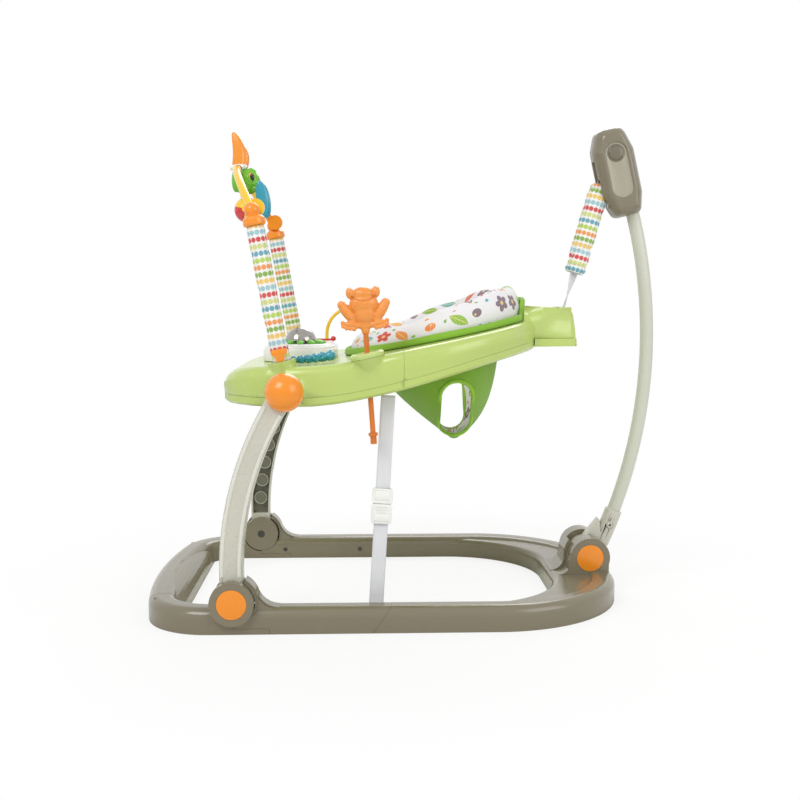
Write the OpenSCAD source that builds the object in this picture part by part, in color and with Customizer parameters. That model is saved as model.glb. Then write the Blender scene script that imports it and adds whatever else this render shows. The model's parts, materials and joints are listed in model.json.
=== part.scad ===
// Baby jumper: a floor ring, two hinged front legs and one hinged rear post that carry a sprung seat tray.
// Lengths are in millimetres. X points to the rear, Y to the sitter's right and Z up.

/* [Floor ring] */
// Half of the width of the floor ring
base_half_w = 292; // [284:1:304]
// Length of the floor ring
base_len = 878; // [860:1:900]
// Distance from the front hinge to the foremost point of the ring
base_nose = 176; // [168:1:190]
// Width of the rail section
rail_w = 50; // [48:1:54]
// Height of the rail section
rail_h = 44; // [42:1:46]
// Radius on the top edges of the rail
rail_round = 17; // [10:1:18]
// Outer radius of the two front corners
front_corner_r = 120; // [100:1:130]
// How far the front arc stands ahead of the corners
front_bulge = 15; // [10:1:20]
// Outer radius of the two rear corners
rear_corner_r = 248; // [230:1:256]
// Depth of the broad deck at the rear, measured along the middle
rear_deck = 122; // [112:1:126]
// Radius of the rear corners of the opening
rear_inner_r = 180; // [150:1:190]
// Height of the rear deck
deck_h = 38; // [34:1:41]
// Distance from the front hinge to the joint between side rail and rear bow
rail_joint = 254; // [235:1:300]

/* [Hinges] */
// Height of the front hinge axis
hinge_z = 54; // [52:1:57]
// Distance between the front and rear hinge axes
hinge_span = 657; // [645:1:662]
// Height of the rear hinge axis
rear_hinge_z = 70; // [67:1:74]
// Radius of the round hinge bosses
boss_r = 38; // [37:0.5:40]
// How far the front bosses stand out from the rail
boss_proud = 9; // [6:1:12]
// Radius of the hinge knuckles
knuckle_r = 34; // [31:0.5:35]
// Radius of the hinge pins
pin_r = 8; // [6:0.5:10]
// Radius of the push buttons
button_r = 25.5; // [22:0.5:27]
// Travel of the push buttons
button_travel = 4; // [2:0.5:5]
// Half of the width of the rear hinge over its bosses
rear_hinge_half_w = 62; // [56:1:68]

/* [Front legs] */
// Width of a leg seen from the side
leg_w = 40; // [36:1:43]
// Thickness of a leg
leg_t = 33; // [30:1:34]
// Bending radius of a leg
leg_bend = 550; // [480:5:700]
// How far the hub lies behind the front hinge
hub_dx = 91.5; // [80:0.5:100]
// Height of the hub axis
hub_z = 411; // [405:1:417]
// Radius of the ball caps on the hubs
cap_r = 33; // [30:0.5:36]
// Radius of the hub axles
axle_r = 9; // [7:0.5:10]
// Number of round ribs on the liner of a leg
liner_ribs = 7; // [4:1:8]

/* [Tray] */
// Gap between a leg and the side of the tray
tray_gap = 2.5; // [2:0.5:6]
// Height of the tray wall
tray_wall_h = 68; // [62:1:74]
// How much lower the tray wall is at the rear
tray_wall_drop = 14; // [8:1:18]
// Height of the underside at the hubs
tray_low = 382; // [378:1:384]
// How much the underside rises towards the tail
tray_rise = 94; // [80:1:104]
// Radius of the round rear part of the tray
tray_ring_r = 257; // [250:1:262]
// How far the front edge of the tray lies ahead of the hub
tray_front_len = 122; // [114:1:135]
// Radius of the front corners of the tray
tray_corner_r = 150; // [120:1:156]
// Thickness of the moulded walls
tray_wall = 3; // [2.5:0.25:4]
// Height of the lower moulding at the edge
lower_lip = 15; // [12:1:18]
// Length of the tail behind the seat centre
tail_len = 263; // [250:1:270]
// Half of the width of the tail at its end
tail_half_w = 57; // [50:1:62]
// Height of the tail's top over its underside
tail_h = 76; // [70:1:82]

/* [Seat] */
// Distance from the front hinge to the middle of the seat
seat_x = 362; // [356:1:368]
// Radius of the seat opening
seat_r = 130; // [124:1:134]
// Outer radius of the padded ring
pad_r = 165; // [158:1:168]
// Crown of the padded ring at the front
pad_front_h = 36; // [28:1:44]
// Crown of the padded ring at the back
pad_rear_h = 72; // [60:1:80]
// Depth of the sling below the tray's deck
sling_depth = 195; // [186:1:202]
// Thickness of the sling fabric
sling_t = 3; // [2:0.5:4]

/* [Rear post] */
// Radius of the bent steel tube
tube_r = 12.7; // [11:0.1:14]
// Bending radius of the tube
tube_bend = 960; // [900:5:1040]
// Distance from the front hinge to the rearmost point of the tube's axis
tube_bow_x = 772; // [768:1:778]
// Height of that point
tube_bow_z = 480; // [470:1:490]
// Height of the top of the housing's middle
housing_z = 804; // [796:1:812]
// Length of the housing
housing_len = 170; // [160:1:180]
// Width of the housing seen from the side
housing_w = 80; // [76:1:86]
// Half of the thickness of the housing
housing_half_t = 36; // [32:1:40]

/* [Bounce spring] */
// Radius of the gathered sleeve
sleeve_r = 20; // [18:0.5:22]
// Length of the gathered sleeve
sleeve_len = 176; // [165:1:184]
// Mean radius of the coil spring
coil_r = 12; // [10:0.5:13]
// Radius of the spring wire
wire_r = 1.6; // [1.2:0.1:2]
// Number of turns of the coil spring
coil_turns = 16; // [12:1:20]
// Width of the strap below the spring
strap_w = 18; // [14:1:20]

/* [Toys] */
// Distance of the toy posts from the sides of the tray
toy_post_in = 28; // [24:1:36]
// Radius of the sleeves on the toy posts
toy_sleeve_r = 18; // [16:0.5:19]
// Length of the toy posts
toy_post_len = 262; // [245:1:275]
// Forward lean of the toy posts in degrees
toy_post_lean = 10.5; // [8:0.5:12]
// Radius of the toy bar
toy_bar_r = 7; // [5:0.5:9]
// Rise of the toy bar from its ends to the middle
toy_bar_rise = 102; // [85:1:115]
// Radius of the ball under the bird
ball_r = 24; // [20:0.5:26]
// Radius of the frog's stem
stem_r = 4.5; // [3.5:0.5:5.5]
// Radius of the arch on the tray
arch_r = 52; // [44:1:56]
// Radius of the rod of that arch
arch_rod_r = 3.3; // [2.5:0.1:4]

/* [Tether] */
// Width of the webbing
web_w = 25; // [20:1:28]
// Thickness of the webbing
web_t = 2; // [1.5:0.1:2.5]

/* [Hidden] */
$fn = 64;
seat_gap = 0.4;
run_gap = 0.05;
touch_gap = 0.3;
deck_gap = 0.8;
swing_gap = 2;
// Longer than any piece, for cuts that go right through
beyond = 600;

taupe = "#7d7560";
pale_grey = "#bdbbad";
dark_grey = "#6a6a58";
steel = "#c9cabb";
leaf_green = "#b9cf78";
bright_green = "#86b62f";
orange = "#f5921e";
yellow = "#f3c518";
white = "#efeef0";
web_white = "#dfe1e6";
teal = "#2b9ab5";
red = "#d6333a";
smoke = "#8f8a86";
sleeve_white = "#e9e4da";

// The ring lies on the floor and its plan is centred between the nose and the rear of the bent tube.
x_off = (base_nose - tube_bow_x - tube_r) / 2;
base_rear = base_len - base_nose;
rail_y = base_half_w - rail_w / 2;
rail_in = base_half_w - rail_w;
front_corner_x = -base_nose + front_bulge + front_corner_r;
front_corner_y = base_half_w - front_corner_r;
rear_corner_x = base_rear - rear_corner_r;
rear_corner_y = base_half_w - rear_corner_r;
inner_x = base_rear - rear_deck;
inner_corner_x = inner_x - rear_inner_r;
inner_corner_y = rail_in - rear_inner_r;
// The front arc touches both corner arcs: its centre follows from the bulge.
nose_room = front_corner_x + base_nose - front_corner_r;
front_arc_x = (front_corner_y * front_corner_y / nose_room - nose_room) / 2 + front_corner_x;
front_arc_r = front_arc_x + base_nose;
front_arc_turn = atan(front_corner_y / (front_arc_x - front_corner_x));
apron_back = -base_nose + 30;
apron_front = -base_nose + 78;
apron_half = front_corner_y + 41;
apron_lip = 6;
joint_lean = 34;
tongue_len = 63;
tongue_h = 10;
spigot_len = 55;
spigot_w = rail_w - 22;
spigot_h = rail_h - 22;
screw_r = 2.5;
screw_head_r = 4.5;
screw_z = 19;
front_screw_x = 52;
rear_screw_x = rail_joint - 40;

leg_y = rail_y + 2;
slot_half = leg_t / 2 + swing_gap;
boss_face = base_half_w + boss_proud;
inner_cheek_t = 10;
hood_r = boss_r + 7;
hood_fillet = 40;
pocket_depth = boss_face - leg_y - slot_half - 4;
button_rim = 2;
button_len = pocket_depth - button_travel + button_rim - 0.5;
rear_ear_t = 38;
rear_slot_half = rear_hinge_half_w - rear_ear_t;
pedestal_in = 18;
lug_fillet = 24;
hood_fillet_rear = 26;
pedestal_front = hinge_span - 46;
pedestal_rear = hinge_span + 36;

// Leg arc through hinge and hub
leg_chord = [hub_dx, hub_z - hinge_z];
leg_dir = leg_chord / norm(leg_chord);
leg_sag = sqrt(leg_bend * leg_bend - pow(norm(leg_chord) / 2, 2));
leg_c = [0, hinge_z] + leg_chord / 2 + leg_sag * [leg_dir[1], -leg_dir[0]];
leg_low = atan2(hinge_z - leg_c[1], -leg_c[0]) + 360;
leg_high = atan2(hub_z - leg_c[1], hub_dx - leg_c[0]);
leg_edge = 8;
liner_depth = 18;
liner_w = leg_w - 7;
liner_floor = 3;
rib_r = liner_w / 2 - 2.5;
rib_h = 9;
hub_knuckle_r = leg_w / 2 + 2;
knuckle_step = 0.3;

tray_half_w = leg_y - leg_t / 2 - tray_gap;
tray_front_x = hub_dx - tray_front_len;
ring_ahead = 70;
tray_ring_x = tray_front_x + tray_ring_r + ring_ahead;
rise_from = hub_dx + 13;
rise_run = 500;
rise_to = rise_from + rise_run;
drop_from = hub_dx + 138;
drop_run = 260;
tray_edge = 14;
tray_seam = tray_ring_x - 4;
skirt_gap = 1.2;
stations = 72;
tail_end = seat_x + tail_len;
tail_root = tail_end - 118;
tail_root_half_w = tail_half_w + 23;
tail_floor = tray_low + tray_rise;
tail_pin_r = 5;
tail_pin = [tail_end - 19, tail_floor + tail_h - 17];
tail_slot_half = 13;
neck_gap = 12;
hub_boss_r = axle_r + 4.5;
hub_pad_r = 24;

// Tube arc of the rear post
tube_c = [tube_bow_x - tube_bend, tube_bow_z];
function tube_turn(z) = asin((z - tube_bow_z) / tube_bend);
function tube_at(z) = tube_c + tube_bend * [cos(tube_turn(z)), sin(tube_turn(z))];
socket_wall = 4;
socket_top = 152;
tube_foot = 98;
tube_top = housing_z + housing_len / 2 - 42;
housing_tilt = 13;
housing_c = [tube_at(housing_z)[0] - 10, housing_z];
hanger_pin = housing_c + [-20, 8];
hanger_pin_r = 4;
cavity_half = 12;
spring_dir = (tail_pin - hanger_pin) / norm(tail_pin - hanger_pin);
spring_lean = atan2(-spring_dir[0], -spring_dir[1]);
hook_len = 26;
eye_r = 8;
eye_t = 5;
spring_pin = hanger_pin + hook_len * spring_dir;
spring_start = 16;
strap_start = spring_start + sleeve_len - 22;
strap_t = 2.5;
spring_reach = norm(tail_pin - spring_pin);

toy_post_y = tray_half_w - toy_post_in;
toy_post_x = hub_dx - 5.5;
toy_post_foot = [toy_post_x, tray_top(toy_post_x) - 6];
toy_post_r = 11;
toy_dir = [-sin(toy_post_lean), cos(toy_post_lean)];
toy_post_top = toy_post_foot + toy_post_len * toy_dir;
collar_h = 24;
collar_wall = 3;
collar_flare = 4;
bar_foot = toy_post_top + 14 * toy_dir;
bar_lean = 27;
bar_span = toy_post_y;
bar_bend = (bar_span * bar_span + toy_bar_rise * toy_bar_rise) / (2 * toy_bar_rise);
bar_turn = asin(bar_span / bar_bend);
bar_up = [-sin(bar_lean), cos(bar_lean)];
bar_mid = bar_foot + toy_bar_rise * bar_up;
ball_c = bar_mid + [15, -74];
bar_boss_r = 15;
boss_shift = [5, 6];
yoke_half = ball_r + 5;
yoke_r = 3.5;

frog_x = 231;
frog_p = [frog_x, -(tray_half_w - 16), tray_top(frog_x)];
frog_lean = 4;
frog_hole_r = 8;
cup_hole_r = 14.6;
bowl_depth = 30;
stem_down = 150;
stem_up = 61;
cup_r = 29;
cup_lift = 1;
cup_depth = 9;
frog_deck_tilt = atan((tray_top(frog_p[0] + 10) - tray_top(frog_p[0] - 10)) / 20);
cup_pivot = 2;
pivot_r = 9;

console_c = [105, 0];
console_r = 68;
console_half = 52;
console_top = tray_top(105) + 31;
dome_r = 30;
dome_at = [105, -26];
collar_leaf_r = 46;
collar_leaf_t = 5;
bead_r = 8.5;
beads = 6;
bead_step = 13;
bead_row = [100, -172];
arch_c = [200, 150];
arch_turn = 11;

tether_foot = [244, -(rail_in - 12), 24];
tether_head = [267, -(tray_half_w - 44), tray_bottom(267) - touch_gap];
tether_run = tether_head - tether_foot;
tether_len = norm(tether_run);
tether_dir = tether_run / tether_len;
buckle_at = 182;
buckle_len = 62;
buckle_w = 36;
buckle_t = 12;
anchor_pin_r = 3;

// Shared helpers

function ramp(t) = let(c = min(1, max(0, t))) c * c * (3 - 2 * c);
function mix(a, b, t) = a + (b - a) * t;
function tray_bottom(x) = tray_low + tray_rise * ramp((x - rise_from) / (rise_to - rise_from));
function tray_top(x) = tray_bottom(x) + tray_wall_h - tray_wall_drop * ramp((x - drop_from) / drop_run);
function arc_points(c, r, a0, a1, n) = [for (i = [0:n])
    c + r * [cos(mix(a0, a1, i / n)), sin(mix(a0, a1, i / n))]];
function corner_arc(p, q, s, r) =
    let(u = (p - q) / norm(p - q), v = (s - q) / norm(s - q), half = acos(u * v) / 2,
        c = q + (u + v) / norm(u + v) * r / sin(half), a = q + u * r / tan(half) - c,
            b = q + v * r / tan(half) - c,
        a0 = atan2(a[1], a[0]), turn = (atan2(b[1], b[0]) - a0 + 540) % 360 - 180)
    arc_points(c, r, a0, a0 + turn, 6);
function rounded(pts, r) = let(n = len(pts))
    [for (i = [0:n - 1]) each corner_arc(pts[(i + n - 1) % n], pts[i], pts[(i + 1) % n],
        is_list(r) ? r[i] : r)];

module placed() translate([x_off, 0, 0]) children();
module sided(right) mirror([0, right ? 1 : 0, 0]) children();
module both_sides() for (right = [false, true]) sided(right) children();
// Side profile, drawn as X and Z, between two places along Y
module slab(y0, y1) translate([0, y1, 0]) rotate([90, 0, 0]) linear_extrude(y1 - y0) children();
module rod_y(p, r, y0, y1) translate([p[0], y1, p[1]]) rotate([90, 0, 0]) cylinder(r = r, h = y1 - y0);
// Arc in the side plane, with the section drawn as radial offset and minus Y
module side_arc(c, r, a0, a1) translate([c[0], 0, c[1]]) rotate([90, 0, 0]) rotate([0, 0, a0])
    rotate_extrude(angle = a1 - a0, $fn = 128) translate([r, 0]) children();
module plan_arc(c, r, a0, a1) translate([c[0], c[1], 0]) rotate([0, 0, a0])
    rotate_extrude(angle = a1 - a0, $fn = 128) translate([r, 0]) children();
// A piece drawn along Z, laid along a direction of the side plane from a point
module along(p, dir, y = 0) translate([p[0], y, p[1]]) rotate([0, atan2(dir[0], dir[1]), 0]) children();
// Closed band lofted through a ring of closed sections
module band(rings) {
    n = len(rings);
    m = len(rings[0]);
    pts = [for (ring = rings) each ring];
    faces = [for (i = [0:n - 1], j = [0:m - 1])
        let(a = i * m + j, b = i * m + (j + 1) % m, c = (i + 1) % n * m + (j + 1) % m, d = (i + 1)
            % n * m + j)
        each [[a, c, b], [a, d, c]]];
    polyhedron(pts, faces);
}
// Closed skin lofted through level rings, with a flat face at both ends
module flat_loft(rings) {
    n = len(rings);
    m = len(rings[0]);
    side = [for (i = [0:n - 2], j = [0:m - 1])
        let(a = i * m + j, b = i * m + (j + 1) % m, c = (i + 1) * m + (j + 1) % m, d = (i + 1) * m + j)
        each [[a, c, b], [a, d, c]]];
    polyhedron([for (ring = rings) each ring],
        concat(side, [[for (j = [0:m - 1]) j], [for (j = [m - 1:-1:0]) (n - 1) * m + j]]));
}
// Closed skin lofted through open rings, with both ends capped by a fan from their middle
module loft(rings) {
    n = len(rings);
    m = len(rings[0]);
    middle = [for (k = [0, n - 1]) [for (q = [0:2]) sum([for (p = rings[k]) p[q]]) / m]];
    pts = concat([for (ring = rings) each ring], middle);
    side = [for (i = [0:n - 2], j = [0:m - 1])
        let(a = i * m + j, b = i * m + (j + 1) % m, c = (i + 1) * m + (j + 1) % m, d = (i + 1) * m + j)
        each [[a, c, b], [a, d, c]]];
    ends = [for (j = [0:m - 1]) each [[n * m, j, (j + 1) % m],
        [n * m + 1, (n - 1) * m + (j + 1) % m, (n - 1) * m + j]]];
    polyhedron(pts, concat(side, ends));
}
function sum(list, i = 0) = i == len(list) ? 0 : list[i] + sum(list, i + 1);

// Floor ring

module rail_section(w = rail_w, h = rail_h, r = rail_round) {
    translate([-w / 2, 0]) square([w, h - r]);
    translate([-w / 2 + r, 0]) square([w - 2 * r, h]);
    for (s = [-1, 1]) translate([s * (w / 2 - r), h - r]) circle(r);
}
module rail_run(x0, x1, y) translate([x0, y, 0]) rotate([90, 0, 90]) linear_extrude(x1 - x0) rail_section();
module spigot(x0, x1, z0, gap) translate([x0, -rail_y - spigot_w / 2 - gap, z0 - gap])
    cube([x1 - x0, spigot_w + 2 * gap, spigot_h + 2 * gap]);
module screw_bore(x, y0, y1) rod_y([x, screw_z], screw_r + run_gap, y0, y1);
module screw_seat(x) {
    screw_bore(x, -rail_in - 16, -rail_in + 1);
    rod_y([x, screw_z], screw_head_r + 0.2, -rail_in - 2.5, -rail_in + 1);
}

// The bow is broader than the rails: its inner side slopes down to the floor.
module bow_apron() slab(-apron_half, apron_half) polygon(concat([[apron_back, 0]],
    [for (a = [0:9:90]) [mix(apron_back, apron_front, sin(a)),
        mix(apron_lip, rail_h - touch_gap, cos(a))]], [[apron_front, 0]]));

module base_front_bow() color(taupe) placed() difference() {
    union() {
        plan_arc([front_arc_x, 0], front_arc_r - rail_w / 2, 180 - front_arc_turn, 180 + front_arc_turn)
            rail_section();
        both_sides() {
            plan_arc([front_corner_x, -front_corner_y], front_corner_r - rail_w / 2, 179 + front_arc_turn,
                270)
                rail_section(rail_w - 0.4, rail_h - 0.2);
            rail_run(front_corner_x - 0.5, 0, -rail_y);
            translate([0, -base_half_w, 0]) cube([tongue_len, rail_w, tongue_h]);
            spigot(front_screw_x - 11, tongue_len - 1, tongue_h, 0);
        }
        bow_apron();
    }
    both_sides() {
        rod_y([0, hinge_z], boss_r + seat_gap, -boss_face - 1, -rail_in + 20);
        screw_bore(front_screw_x, -rail_in - 16, -rail_in + 1);
    }
}

// The leaning end of the side rail, as a side profile behind the joint
module joint_side(gap) polygon([[rail_joint - joint_lean / 2 + gap, -1],
    [rail_joint + joint_lean / 2 + gap, rail_h + 1],
    [rail_joint + beyond, rail_h + 1], [rail_joint + beyond, -1]]);

module hinge_hood() for (p = [[0, slot_half - 3, 13], [3, slot_half + 1, 19]]) hood_layer(p[0], p[1], p[2]);
module hood_layer(drop, half, run_half) {
    fillet_z = rail_h + hood_fillet;
    fillet_x = sqrt(pow(hood_r + hood_fillet, 2) - pow(fillet_z - hinge_z, 2));
    slab(-leg_y - half, -leg_y + half) difference() {
        circle_at([0, hinge_z], hood_r - drop);
        circle_at([0, hinge_z], boss_r + 1);
        polygon([[0, hinge_z], [hood_r * 0.9, hinge_z + hood_r * 1.5], [-hood_r, hinge_z + hood_r * 1.6],
            [-hood_r * 2, hinge_z], [-hood_r * 2, -9], [0, -9]]);
    }
    slab(-rail_y - run_half, -rail_y + run_half) difference() {
        polygon([[hood_r * 0.4, rail_h - 8], [fillet_x, rail_h - 8], [fillet_x, fillet_z], [0, hinge_z]]);
        circle_at([fillet_x, fillet_z], hood_fillet + drop);
        circle_at([0, hinge_z], boss_r + 1);
    }
}
module circle_at(p, r) translate(p) circle(r);

module base_rail(right) color(taupe) placed() sided(right) difference() {
    union() {
        rail_run(seat_gap, rail_joint + joint_lean, -rail_y);
        rod_y([0, hinge_z], boss_r, -boss_face, -leg_y - slot_half);
        rod_y([0, hinge_z], boss_r - 2, -leg_y + slot_half, -leg_y + slot_half + inner_cheek_t);
        hinge_hood();
    }
    rod_y([0, hinge_z], knuckle_r + swing_gap, -leg_y - slot_half, -leg_y + slot_half);
    translate([-boss_r - 1, -leg_y - slot_half, hinge_z]) cube([boss_r + 1, 2 * slot_half, boss_r + 10]);
    rod_y([0, hinge_z], button_r + seat_gap, -boss_face - 1, -boss_face + pocket_depth);
    rod_y([0, hinge_z], pin_r + run_gap, -boss_face, -rail_in + 20);
    translate([-boss_r, -base_half_w - 1, -1])
        cube([boss_r + tongue_len + seat_gap, rail_w + 2, tongue_h + 1 + seat_gap]);
    spigot(front_screw_x - 11 - seat_gap, tongue_len + seat_gap, tongue_h, seat_gap);
    spigot(rail_joint - joint_lean / 2 - spigot_len, rail_joint + joint_lean, 6, seat_gap);
    slab(-base_half_w - 1, -rail_in + 1) joint_side(0);
    screw_seat(front_screw_x);
    screw_seat(rear_screw_x);
}
module base_rail_left() base_rail(false);
module base_rail_right() base_rail(true);

module base_rear_bow() color(taupe) placed() difference() {
    union() {
        both_sides() {
            rail_run(rail_joint - joint_lean, rear_corner_x, -rail_y);
            plan_arc([rear_corner_x, -rear_corner_y], rear_corner_r - rail_w / 2, 270, 360) rail_section();
            spigot(rail_joint - joint_lean / 2 - spigot_len + 1, rail_joint + joint_lean, 6, 0);
            plan_arc([inner_corner_x, -inner_corner_y], rear_inner_r + rail_w / 2, 270, 360)
                rail_section(h = deck_h, r = 12);
        }
        translate([base_rear - rail_w / 2, rear_corner_y, 0]) rotate([90, 0, 0])
            linear_extrude(2 * rear_corner_y) rail_section();
        translate([inner_x + rail_w / 2, inner_corner_y, 0]) rotate([90, 0, 0])
            linear_extrude(2 * inner_corner_y) rail_section(h = deck_h, r = 12);
        linear_extrude(deck_h) difference() {
            union() {
                for (s = [-1, 1]) circle_at([rear_corner_x, s * rear_corner_y], rear_corner_r - rail_w / 2);
                translate([rear_corner_x, -rear_corner_y])
                    square([rear_corner_r - rail_w / 2, 2 * rear_corner_y]);
            }
            for (s = [-1, 1]) circle_at([inner_corner_x, s * inner_corner_y], rear_inner_r + rail_w / 2);
            translate([0, -rail_in]) square([inner_corner_x, 2 * rail_in]);
            translate([0, -inner_corner_y]) square([inner_x + rail_w / 2, 2 * inner_corner_y]);
        }
    }
    difference() {
        slab(-base_half_w - 1, base_half_w + 1) polygon([[0, -1], [0, rail_h + 1],
            [rail_joint + joint_lean / 2 + seat_gap, rail_h + 1],
                [rail_joint - joint_lean / 2 + seat_gap, -1]]);
        both_sides() spigot(rail_joint - joint_lean / 2 - spigot_len, rail_joint + joint_lean, 6, 0);
    }
    translate([pedestal_front - seat_gap, -rear_hinge_half_w - seat_gap, rail_h - pedestal_in])
        cube([pedestal_rear - pedestal_front + 2 * seat_gap, 2 * (rear_hinge_half_w + seat_gap), rail_h]);
    both_sides() screw_bore(rear_screw_x, -rail_in - 16, -rail_in + 1);
}

// Hollow corner between the deck and a round form on the rear hinge's axis
module deck_fillet(r, fillet) {
    z = deck_h + touch_gap;
    x = hinge_span - sqrt(pow(r + fillet, 2) - pow(z + fillet - rear_hinge_z, 2));
    difference() {
        polygon([[x, z], [hinge_span - 10, z], [hinge_span, rear_hinge_z], [x, z + fillet]]);
        circle_at([x, z + fillet], fillet);
    }
}
module rear_pedestal() color(taupe) placed() difference() {
    rear_hinge = [hinge_span, rear_hinge_z];
    foot_z = rail_h - pedestal_in;
    union() {
        both_sides() slab(-rear_hinge_half_w, -rear_slot_half) {
            circle_at(rear_hinge, boss_r);
            polygon([[pedestal_front, foot_z], [pedestal_rear, foot_z], [pedestal_rear, rear_hinge_z],
                [hinge_span - boss_r, rear_hinge_z + 4]]);
            deck_fillet(boss_r, lug_fillet);
        }
        slab(-rear_slot_half - 1, rear_slot_half + 1) {
            deck_fillet(hood_r, hood_fillet_rear);
            polygon([[pedestal_front, foot_z], [pedestal_rear, foot_z], [pedestal_rear, rail_h],
                [pedestal_front, rail_h + 8]]);
            difference() {
                circle_at(rear_hinge, hood_r);
                translate([0, foot_z - 50]) square([hinge_span, 55]);
                polygon([rear_hinge + [-hood_r, hood_r * 0.8], rear_hinge, rear_hinge - [0, hood_r * 2],
                    rear_hinge + [hood_r * 2, -hood_r * 2], rear_hinge + [hood_r * 2, hood_r * 2]]);
            }
        }
    }
    rod_y(rear_hinge, knuckle_r + swing_gap, -rear_slot_half, rear_slot_half);
    both_sides() rod_y(rear_hinge, button_r + seat_gap, -rear_hinge_half_w - 1,
        -rear_hinge_half_w + pocket_depth);
    rod_y(rear_hinge, pin_r + run_gap, -rear_hinge_half_w, rear_hinge_half_w);
}

module front_hinge_pins() color(steel) placed() both_sides()
    rod_y([0, hinge_z], pin_r, -boss_face + pocket_depth, -leg_y + slot_half + inner_cheek_t);
module rear_hinge_pin() color(steel) placed()
    rod_y([hinge_span, rear_hinge_z], pin_r, -rear_hinge_half_w + pocket_depth,
        rear_hinge_half_w - pocket_depth);

module base_screws() color(steel) placed() both_sides() for (x = [front_screw_x, rear_screw_x])
    difference() {
    union() {
        rod_y([x, screw_z], screw_r, -rail_in - 15, -rail_in - 1);
        rod_y([x, screw_z], screw_head_r, -rail_in - 2.5, -rail_in - 0.5);
    }
    translate([x - 3.5, -rail_in - 1.5, screw_z - 0.6]) cube([7, 2, 1.2]);
}

module tether_anchor() color(taupe) placed() {
    half = web_w / 2 + 5;
    wall_y = -rail_in + touch_gap;
    translate([tether_foot[0] - half, wall_y, tether_foot[2] - 13]) cube([2 * half, 3, 26]);
    for (x = [-half, half - 4]) translate([tether_foot[0] + x, wall_y, tether_foot[2] - 8])
        cube([4, tether_foot[1] - wall_y + 5, 16]);
    translate([tether_foot[0] - half, tether_foot[1], tether_foot[2]]) rotate([0, 90, 0])
        cylinder(r = anchor_pin_r, h = 2 * half);
}

module push_button(face, len) {
    rod_y([0, 0], button_r, face + 2, face + len);
    translate([0, face + 2, 0]) rotate([90, 0, 0]) rotate_extrude(convexity = 4)
        intersection() {
            translate([0, -6 * button_r + 2]) circle(6 * button_r, $fn = 128);
            square([button_r, 4]);
        }
}
module button_front(right) color(orange) placed() sided(right) translate([0, 0, hinge_z])
    push_button(-boss_face - button_rim, button_len);
module button_front_left() button_front(false);
module button_front_right() button_front(true);
module button_rear(right) color(orange) placed() sided(right) translate([hinge_span, 0, rear_hinge_z])
    push_button(-rear_hinge_half_w - button_rim, button_len);
module button_rear_left() button_rear(false);
module button_rear_right() button_rear(true);

// Front legs and hubs

module leg_section() let(r = leg_edge, w = leg_w, t = leg_t) {
    translate([-w / 2, r]) square([w, t - r]);
    translate([-w / 2 + r, 0]) square([w - 2 * r, t]);
    for (s = [-1, 1]) translate([s * (w / 2 - r), r]) circle(r);
}
// The section's own Y grows inwards, so it is turned over to put the rounded back on the outside.
module leg_sweep(a0, a1) side_arc(leg_c, leg_bend, a0, a1) children();
module front_leg(right) color(pale_grey) placed() sided(right) difference() {
    y_out = leg_y + leg_t / 2;
    union() {
        leg_sweep(leg_high, leg_low) translate([0, y_out]) mirror([0, 1]) leg_section();
        rod_y([0, hinge_z], knuckle_r, -y_out + knuckle_step, -leg_y + leg_t / 2 - knuckle_step);
        rod_y([hub_dx, hub_z], hub_knuckle_r, -y_out + knuckle_step, -leg_y + leg_t / 2 - knuckle_step);
    }
    leg_sweep(leg_high + 3.5, leg_low - 4.5) translate([-liner_w / 2, leg_y - leg_t / 2 - 1])
        square([liner_w, liner_depth + 1]);
    rod_y([0, hinge_z], pin_r + run_gap, -boss_face, -rail_in + 20);
    rod_y([hub_dx, hub_z], axle_r + run_gap, -boss_face, -rail_in + 20);
}
module front_leg_left() front_leg(false);
module front_leg_right() front_leg(true);

module leg_liner(right) color(dark_grey) placed() sided(right) {
    floor_y = leg_y - leg_t / 2 + liner_depth;
    leg_sweep(leg_high + 3.6, leg_low - 4.6) translate([-liner_w / 2 + 0.2, floor_y - liner_floor])
        square([liner_w - 0.4, liner_floor - 0.1]);
    for (i = [0:liner_ribs - 1]) {
        a = mix(leg_high + 6.5, leg_low - 8, i / (liner_ribs - 1));
        p = leg_c + leg_bend * [cos(a), sin(a)];
        rod_y(p, rib_r, -floor_y + 1, -floor_y + liner_floor + rib_h);
    }
}
module leg_liner_left() leg_liner(false);
module leg_liner_right() leg_liner(true);

axle_in = tray_half_w - 22;
axle_out = leg_y + leg_t / 2 + 12;
module hub_axles() color(steel) placed() both_sides() rod_y([hub_dx, hub_z], axle_r, -axle_out, -axle_in);
module hub_caps() color(orange) placed() both_sides() difference() {
    cap_y = leg_y + leg_t / 2 + touch_gap;
    translate([hub_dx, -cap_y + 3, hub_z]) sphere(cap_r, $fn = 96);
    translate([hub_dx - 2 * cap_r, -cap_y, hub_z - 2 * cap_r]) cube(4 * cap_r);
    rod_y([hub_dx, hub_z], axle_r + 0.02, -axle_out, 0);
}

// Tray

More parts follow.
